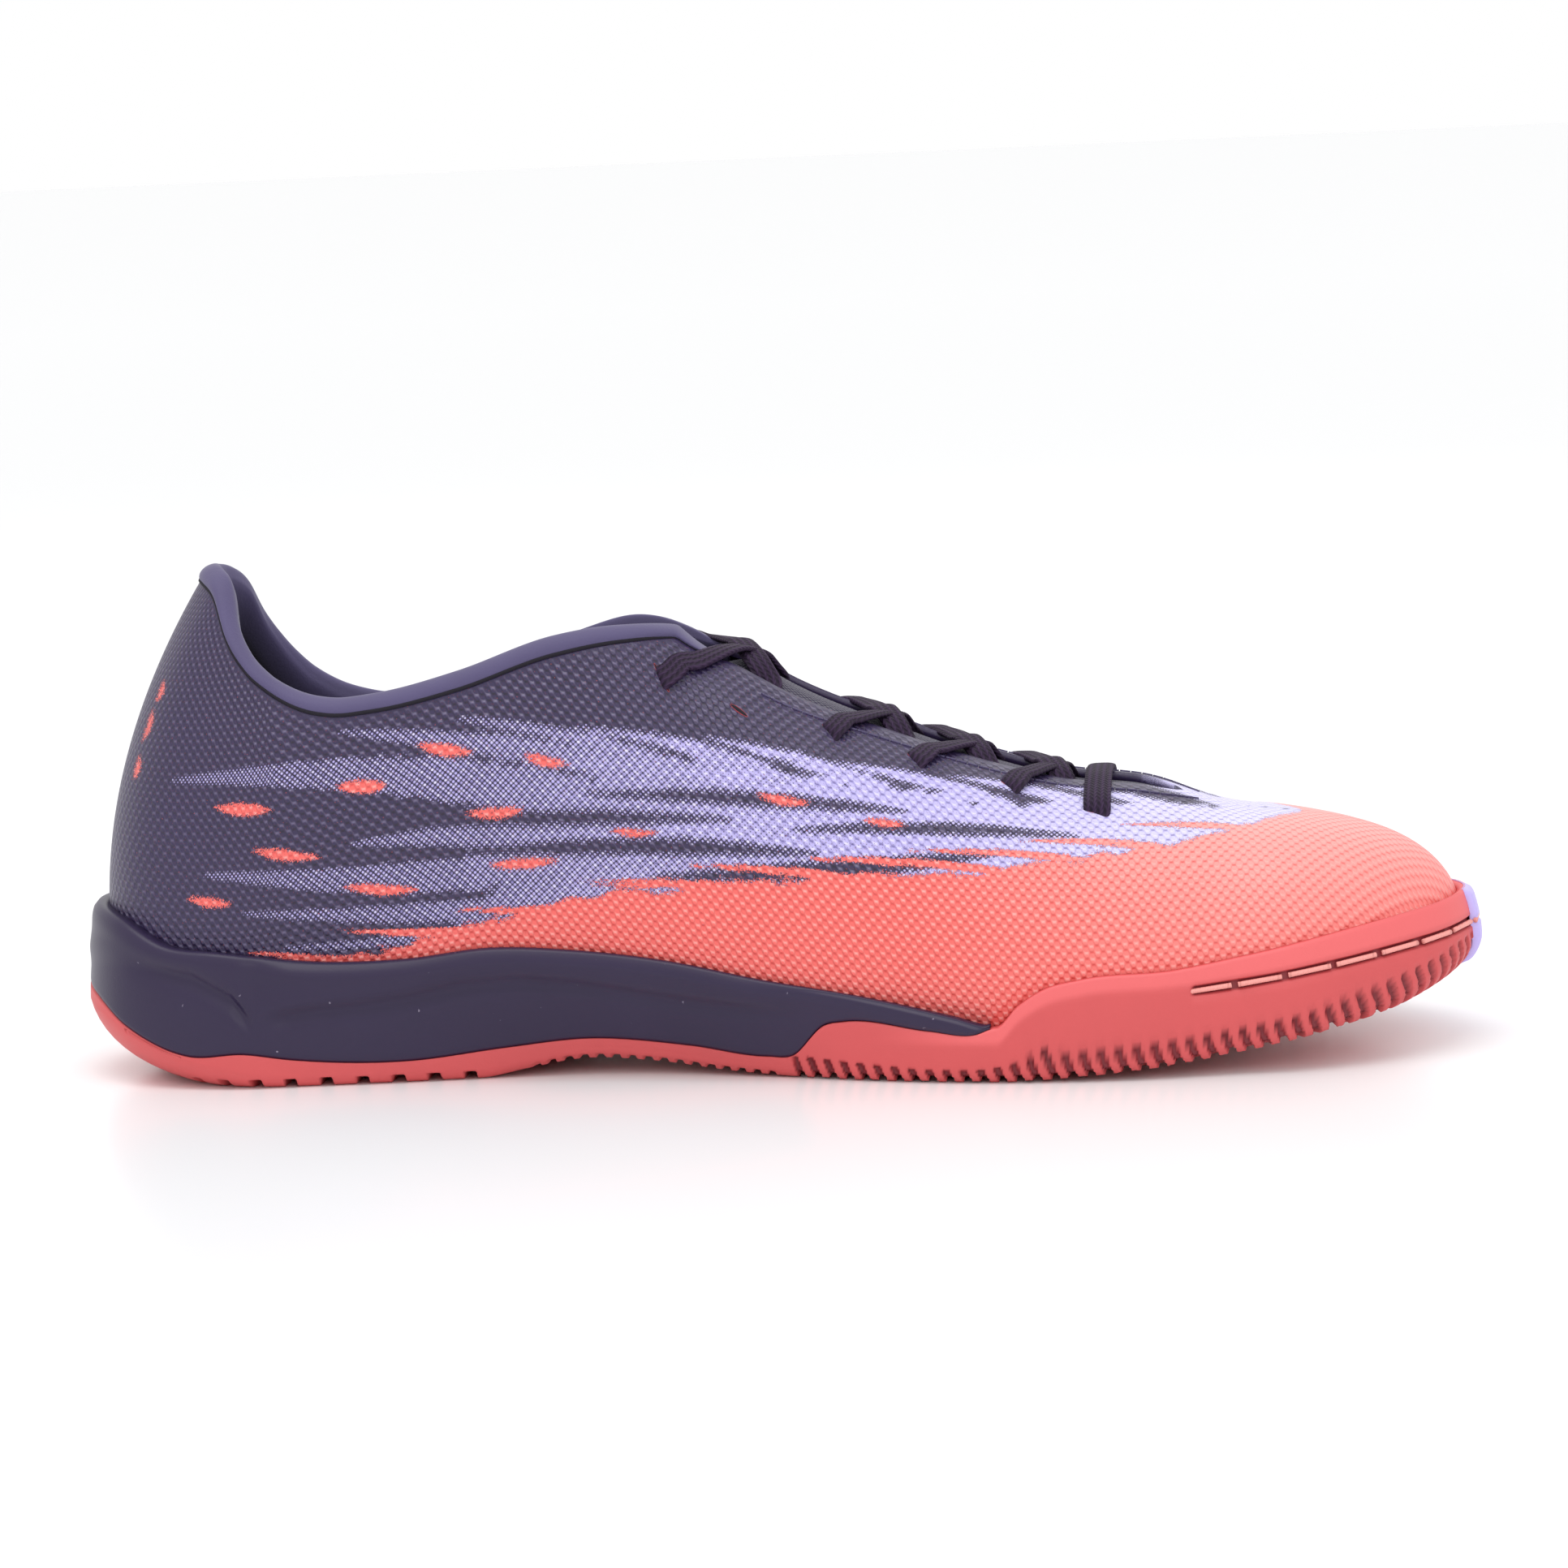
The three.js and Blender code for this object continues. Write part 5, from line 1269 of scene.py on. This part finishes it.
def build_lace(looks):
    first = lace_path(-1, True)
    second = lace_path(1, False)
    rows = np.array(first[::-1] + second[1:])
    controls = skin_points(rows[:, 0], rows[:, 1], rows[:, 2])
    path = bend_through(controls, 7)
    flat = bend_through(skin_points(rows[:, 0], rows[:, 1], rows[:, 2] * 0), 7)
    up = bend_through(skin_points(rows[:, 0], rows[:, 1], rows[:, 2] * 0 + 1.0), 7) - flat
    tangent = np.gradient(path, axis=0)
    tangent /= np.linalg.norm(tangent, axis=1)[:, None]
    ground = np.gradient(flat, axis=0)
    across = np.cross(up, ground)
    across -= tangent * np.sum(across * tangent, axis=1)[:, None]
    kernel = np.hanning(13)
    kernel /= kernel.sum()
    across /= np.maximum(np.linalg.norm(across, axis=1), 1e-6)[:, None]
    for axis in range(3):
        padded = np.concatenate([np.full(6, across[0, axis]), across[:, axis], np.full(6, across[-1, axis])])
        across[:, axis] = np.convolve(padded, kernel, mode="valid")
    across -= tangent * np.sum(across * tangent, axis=1)[:, None]
    across /= np.linalg.norm(across, axis=1)[:, None]
    normal = np.cross(tangent, across)
    half = looks.lace_width / 2
    thick = looks.lace_thickness / 2
    angles = np.linspace(0, 2 * math.pi, 25)[:-1]
    wide = np.sign(np.cos(angles)) * np.abs(np.cos(angles)) ** 0.6 * half
    tall = np.sign(np.sin(angles)) * np.abs(np.sin(angles)) ** 0.8 * thick
    walked = np.concatenate([[0], np.cumsum(np.linalg.norm(np.diff(path, axis=0), axis=1))])
    sections = path[:, None] + across[:, None] * wide[None, :, None] + normal[:, None] * tall[None, :, None]
    uv = np.stack([np.broadcast_to(walked[:, None], sections.shape[:2]),
                   np.broadcast_to(wide[None], sections.shape[:2])], -1)
    piece = sweep("braided_lace", sections, [woven_lace(looks)], uv=uv)
    finish_piece(piece, "lace", "lace_bar", "lace_cross_1", "lace_cross_2", "lace_cross_3", "lace_cross_4")


def build_eyelets():
    """Each slit is a dark lens of painted shade with a raw coral edge, set across the lace that enters it."""
    edge = raw_edge()
    gap = dark_gap()
    places = [*LACED_EYELETS, (*LOWEST_EYELET, 0), (*SPARE_EYELET, 13)]
    angles = np.linspace(0, 2 * math.pi, 33)[:-1]
    for number, (x, spread, forward) in enumerate(places):
        spare = x == SPARE_EYELET[0]
        lean = 0.25 if spare else math.atan2(forward, spread + 6)
        long = 1.7 if spare else 1.9
        for side, word in ((-1, "inner"), (1, "outer")):
            for name, grow, lift, material in (("slit_edge", 0.12, 0.1, edge), ("slit", 0.0, 0.16, gap)):
                rows = []
                for share, rise in ((0, -0.5), (1, -0.5), (1, lift * 0.5), (0.85, lift), (0, lift)):
                    ragged = 1 + 0.5 * np.sin(angles * 7 + number) * np.sin(angles * 3 + number)
                    wide = np.cos(angles) * (long + grow) * share
                    deep = np.sin(angles) * (0.32 + grow * ragged) * share
                    dx = wide * math.cos(lean) - deep * math.sin(lean)
                    dy = wide * math.sin(lean) + deep * math.cos(lean)
                    rows.append(skin_points(x + dx, side * (spread + dy), np.full(32, rise)))
                piece = sweep(f"{name}_{word}_{number + 1}", np.array(rows), [material])
                finish_piece(piece, "upper")


# Stitches by Geometry Nodes
def stitch_tree(name, material):
    """A tree that lays thread stitches along a path: length, gap and thread radius are inputs."""
    tree = bpy.data.node_groups.new(name, "GeometryNodeTree")
    tree.interface.new_socket("Geometry", in_out="INPUT", socket_type="NodeSocketGeometry")
    for label, value in (("Stitch pitch", 2.6), ("Stitch length", 2.0), ("Thread radius", 0.35)):
        socket = tree.interface.new_socket(label, in_out="INPUT", socket_type="NodeSocketFloat")
        socket.default_value = value * MM
    tree.interface.new_socket("Geometry", in_out="OUTPUT", socket_type="NodeSocketGeometry")
    source = add_node(tree, "NodeGroupInput")
    curve = add_node(tree, "GeometryNodeMeshToCurve", {"Mesh": source.outputs["Geometry"]})
    even = add_node(tree, "GeometryNodeResampleCurve", {"Curve": curve.outputs[0]}, mode="LENGTH")
    tree.links.new(source.outputs["Stitch pitch"], even.inputs["Length"])
    tangent = add_node(tree, "GeometryNodeInputTangent")
    turn = add_node(tree, "FunctionNodeAlignEulerToVector", {"Vector": tangent.outputs[0]}, axis="Z")
    thread = add_node(tree, "GeometryNodeMeshCylinder",
                      {"Vertices": 10, "Side Segments": 6, "Radius": 1.0, "Depth": 2.0})
    half = add_node(tree, "ShaderNodeMath", {0: source.outputs["Stitch length"], 1: 0.5}, operation="MULTIPLY")
    size = add_node(tree, "ShaderNodeCombineXYZ", {0: source.outputs["Thread radius"],
                                                   1: source.outputs["Thread radius"], 2: half.outputs[0]})
    placed = add_node(tree, "GeometryNodeInstanceOnPoints", {
        "Points": even.outputs[0], "Instance": thread.outputs["Mesh"],
        "Rotation": turn.outputs[0], "Scale": size.outputs[0]})
    real = add_node(tree, "GeometryNodeRealizeInstances", {0: placed.outputs[0]})
    dressed = add_node(tree, "GeometryNodeSetMaterial", {"Geometry": real.outputs[0], "Material": material})
    smoothed = add_node(tree, "GeometryNodeSetShadeSmooth", {0: dressed.outputs[0]})
    add_node(tree, "NodeGroupOutput", {0: smoothed.outputs[0]})
    return tree


def lay_stitches(name, paths, tree, slot, pitch, length, radius):
    """Runs the stitch tree on path meshes and keeps the result as one plain mesh."""
    points = []
    edges = []
    for path in paths:
        start = len(points)
        points += to_frame(path).tolist()
        edges += [(start + i, start + i + 1) for i in range(len(path) - 1)]
    guide_mesh = bpy.data.meshes.new(name + "_path")
    guide_mesh.from_pydata(points, edges, [])
    guide = bpy.data.objects.new(name + "_path", guide_mesh)
    bpy.context.scene.collection.objects.link(guide)
    modifier = guide.modifiers.new("stitches", "NODES")
    modifier.node_group = tree
    wanted = {"Stitch pitch": pitch * MM, "Stitch length": length * MM, "Thread radius": radius * MM}
    for item in tree.interface.items_tree:
        if item.item_type == "SOCKET" and item.in_out == "INPUT" and item.name in wanted:
            modifier[item.identifier] = wanted[item.name]
    bpy.context.view_layer.update()
    evaluated = guide.evaluated_get(bpy.context.evaluated_depsgraph_get())
    mesh = bpy.data.meshes.new_from_object(evaluated)
    mesh.name = name
    guide.modifiers.remove(modifier)
    bpy.data.objects.remove(guide)
    piece = bpy.data.objects.new(name, mesh)
    bpy.context.scene.collection.objects.link(piece)
    finish_piece(piece, slot)


def build_stitches():
    dark = sewing_thread("bonded_plum_thread", "#4b4266")
    pale = sewing_thread("bonded_coral_thread", "#f2a098")
    throat_tree = stitch_tree("throat_stitch", dark)
    toe_tree = stitch_tree("toe_stitch", pale)
    x = np.linspace(146, 231, 120)
    rounded = np.sqrt(np.clip(1 - np.clip((x - 225) / 12, 0, 1) ** 2, 0.02, 1))
    half = throat_half(x) * rounded + 4.6 * np.clip((233 - x) / 8, 0.05, 1)
    paths = [skin_points(x, side * half, 0.06) for side in (-1, 1)]
    lay_stitches("throat_stitching", paths, throat_tree, "upper", 2.3, 2.1, 0.24)

    quarter = TURN_RADIUS * math.pi / 2
    walk = np.linspace(HALF_ROUND - quarter - 8.5, HALF_ROUND + quarter + 8.5, 400)
    ribs = Ribs(walk)
    rim_x = ribs.x + ribs.out_x * ribs.sole
    reach, height = sole_profile(ribs)
    level = rand_top(rim_x) - stitch_drop(rim_x)
    wall = profile_at(reach, height, level[None])[0]
    turn = np.degrees((ribs.along - ribs.x) / TURN_RADIUS)
    guard = np.where(ribs.side < 0, smooth((turn - GUARD_INNER_TURN + 1) / 2),
                     smooth((turn - GUARD_OUTER_TURN + 1) / 2))
    path = ribs.point(wall - 0.35 + 0.85 * guard, level)
    lay_stitches("toe_stitching", [path], toe_tree, "outsole", 9.9, 8.7, 0.5)


# Stage
def build_stage():
    floor_mesh = bpy.data.meshes.new("studio_floor")
    side = 60.0
    corners = [(-side, -side, 0), (side, -side, 0), (side, side, 0), (-side, side, 0)]
    floor_mesh.from_pydata(corners, [], [(0, 1, 2, 3)])
    material, _, shader = new_material("white_studio_floor", (0.955, 0.96, 0.97, 1), 0.24)
    shader.inputs["Specular IOR Level"].default_value = 0.3
    floor_mesh.materials.append(material)
    floor = bpy.data.objects.new("studio_floor", floor_mesh)
    bpy.context.scene.collection.objects.link(floor)

    world = bpy.data.worlds.new("studio")
    bpy.context.scene.world = world
    world.use_nodes = True
    sky = world.node_tree.nodes["Background"]
    sky.inputs["Color"].default_value = (1, 1, 1, 1)
    sky.inputs["Strength"].default_value = 1.0

    for name, place, aim, size, power in (
            ("top_softbox", (-0.1, -0.25, 1.2), (0.0, 0, 0.03), (1.0, 0.6), 5),
            ("front_softbox", (0.5, -1.3, 0.8), (0.02, 0, 0.04), (0.7, 0.5), 1.5),
            ("back_softbox", (0.2, 1.2, 0.9), (0, 0, 0.05), (1.2, 0.7), 1)):
        data = bpy.data.lights.new(name, "AREA")
        data.shape = "RECTANGLE"
        data.size, data.size_y = size
        data.energy = power
        light = bpy.data.objects.new(name, data)
        bpy.context.scene.collection.objects.link(light)
        direction = Vector(aim) - Vector(place)
        light.location = place
        light.rotation_euler = direction.to_track_quat("-Z", "Y").to_euler()

    level, upright, back = chart_axes()
    aim = to_frame(CHART_AIM)[0]
    place = aim + CHART_DISTANCE * MM * back
    data = bpy.data.cameras.new("photo_camera")
    data.sensor_width = 36
    data.lens = CHART_SPAN * 36 / (2 * CHART_HALF)
    data.clip_start = 0.05
    camera = bpy.data.objects.new("photo_camera", data)
    bpy.context.scene.collection.objects.link(camera)
    turned = Matrix([level, upright, back]).transposed().to_4x4()
    camera.matrix_world = Matrix.Translation(Vector(place)) @ turned
    bpy.context.scene.camera = camera
    bpy.context.scene.view_settings.view_transform = "Standard"


def length_choice(name, about, value, low, high):
    return bpy.props.FloatProperty(name=name, description=about, default=value, min=low, max=high)


def colour_choice(name, about, value):
    return bpy.props.FloatVectorProperty(name=name, description=about, subtype="COLOR", size=4,
                                         default=linear(value), min=0, max=1)


class ShoeLooks(bpy.types.PropertyGroup):
    lace_width: length_choice("Lace width", "Width of the flat lace in mm", 5.5, 2, 12)
    lace_thickness: length_choice("Lace thickness", "Thickness of the lace in mm", 1.4, 0.5, 3)
    dot_pitch: length_choice("Dot pitch", "Pitch of the printed dots in mm", 0.76, 0.2, 3)
    relief_depth: length_choice("Relief depth", "Depth of the upper's emboss in mm", 0.22, 0, 1)
    upper_colour: colour_choice("Upper colour", "Ground colour of the upper", "#30264a")
    coral_colour: colour_choice("Coral print", "Coral ink of the upper", "#f86c66")
    collar_colour: colour_choice("Collar colour", "Colour of the padded collar", "#524a70")
    midsole_colour: colour_choice("Midsole colour", "Colour of the foam midsole", "#2d2340")
    rubber_colour: colour_choice("Outsole colour", "Colour of the rubber outsole", "#d05254")
    lace_colour: colour_choice("Lace colour", "Colour of the lace", "#2c1d35")


def shoe_looks(context):
    return context.scene.shoe_looks


class SHOE_OT_upper(bpy.types.Operator):
    """Build the printed upper"""
    bl_idname = "shoe.upper"
    bl_label = "Upper"

    def execute(self, context):
        build_upper(shoe_looks(context))
        return {"FINISHED"}


class SHOE_OT_collar(bpy.types.Operator):
    """Build the padded collar and its seam"""
    bl_idname = "shoe.collar"
    bl_label = "Collar"

    def execute(self, context):
        build_collar(shoe_looks(context))
        return {"FINISHED"}


class SHOE_OT_inside(bpy.types.Operator):
    """Build the tongue and the insole"""
    bl_idname = "shoe.inside"
    bl_label = "Tongue and insole"

    def execute(self, context):
        build_tongue()
        build_insole()
        return {"FINISHED"}


class SHOE_OT_sole(bpy.types.Operator):
    """Build the outsole, the midsole and the toe guard"""
    bl_idname = "shoe.sole"
    bl_label = "Sole"

    def execute(self, context):
        looks = shoe_looks(context)
        build_outsole(looks)
        build_midsole(looks)
        build_toe_guard()
        return {"FINISHED"}


class SHOE_OT_lace(bpy.types.Operator):
    """Build the lace and the eyelet slits"""
    bl_idname = "shoe.lace"
    bl_label = "Lace and eyelets"

    def execute(self, context):
        build_lace(shoe_looks(context))
        build_eyelets()
        return {"FINISHED"}


class SHOE_OT_stitches(bpy.types.Operator):
    """Lay the stitches of the throat and the toe"""
    bl_idname = "shoe.stitches"
    bl_label = "Stitches"

    def execute(self, context):
        build_stitches()
        return {"FINISHED"}


class SHOE_OT_stage(bpy.types.Operator):
    """Set the floor, the lights and the camera"""
    bl_idname = "shoe.stage"
    bl_label = "Stage"

    def execute(self, context):
        build_stage()
        return {"FINISHED"}


STEPS = (SHOE_OT_upper, SHOE_OT_collar, SHOE_OT_inside, SHOE_OT_sole, SHOE_OT_lace, SHOE_OT_stitches, SHOE_OT_stage)


class SHOE_PT_panel(bpy.types.Panel):
    """Lists the shoe's pieces, sizes and colours"""
    bl_idname = "SHOE_PT_panel"
    bl_label = "Indoor soccer shoe"
    bl_space_type = "VIEW_3D"
    bl_region_type = "UI"
    bl_category = "Shoe"

    def draw(self, context):
        looks = shoe_looks(context)
        for name in ShoeLooks.__annotations__:
            self.layout.prop(looks, name)
        for step in STEPS:
            self.layout.operator(step.bl_idname)


CLASSES = (ShoeLooks, *STEPS, SHOE_PT_panel)


def register():
    for cls in CLASSES:
        bpy.utils.register_class(cls)
    bpy.types.Scene.shoe_looks = bpy.props.PointerProperty(type=ShoeLooks)


def unregister():
    del bpy.types.Scene.shoe_looks
    for cls in reversed(CLASSES):
        bpy.utils.unregister_class(cls)


def main():
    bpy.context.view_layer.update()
    register()
    for step in STEPS:
        group, call = step.bl_idname.split(".")
        getattr(getattr(bpy.ops, group), call)()


if __name__ == "__main__":
    main()
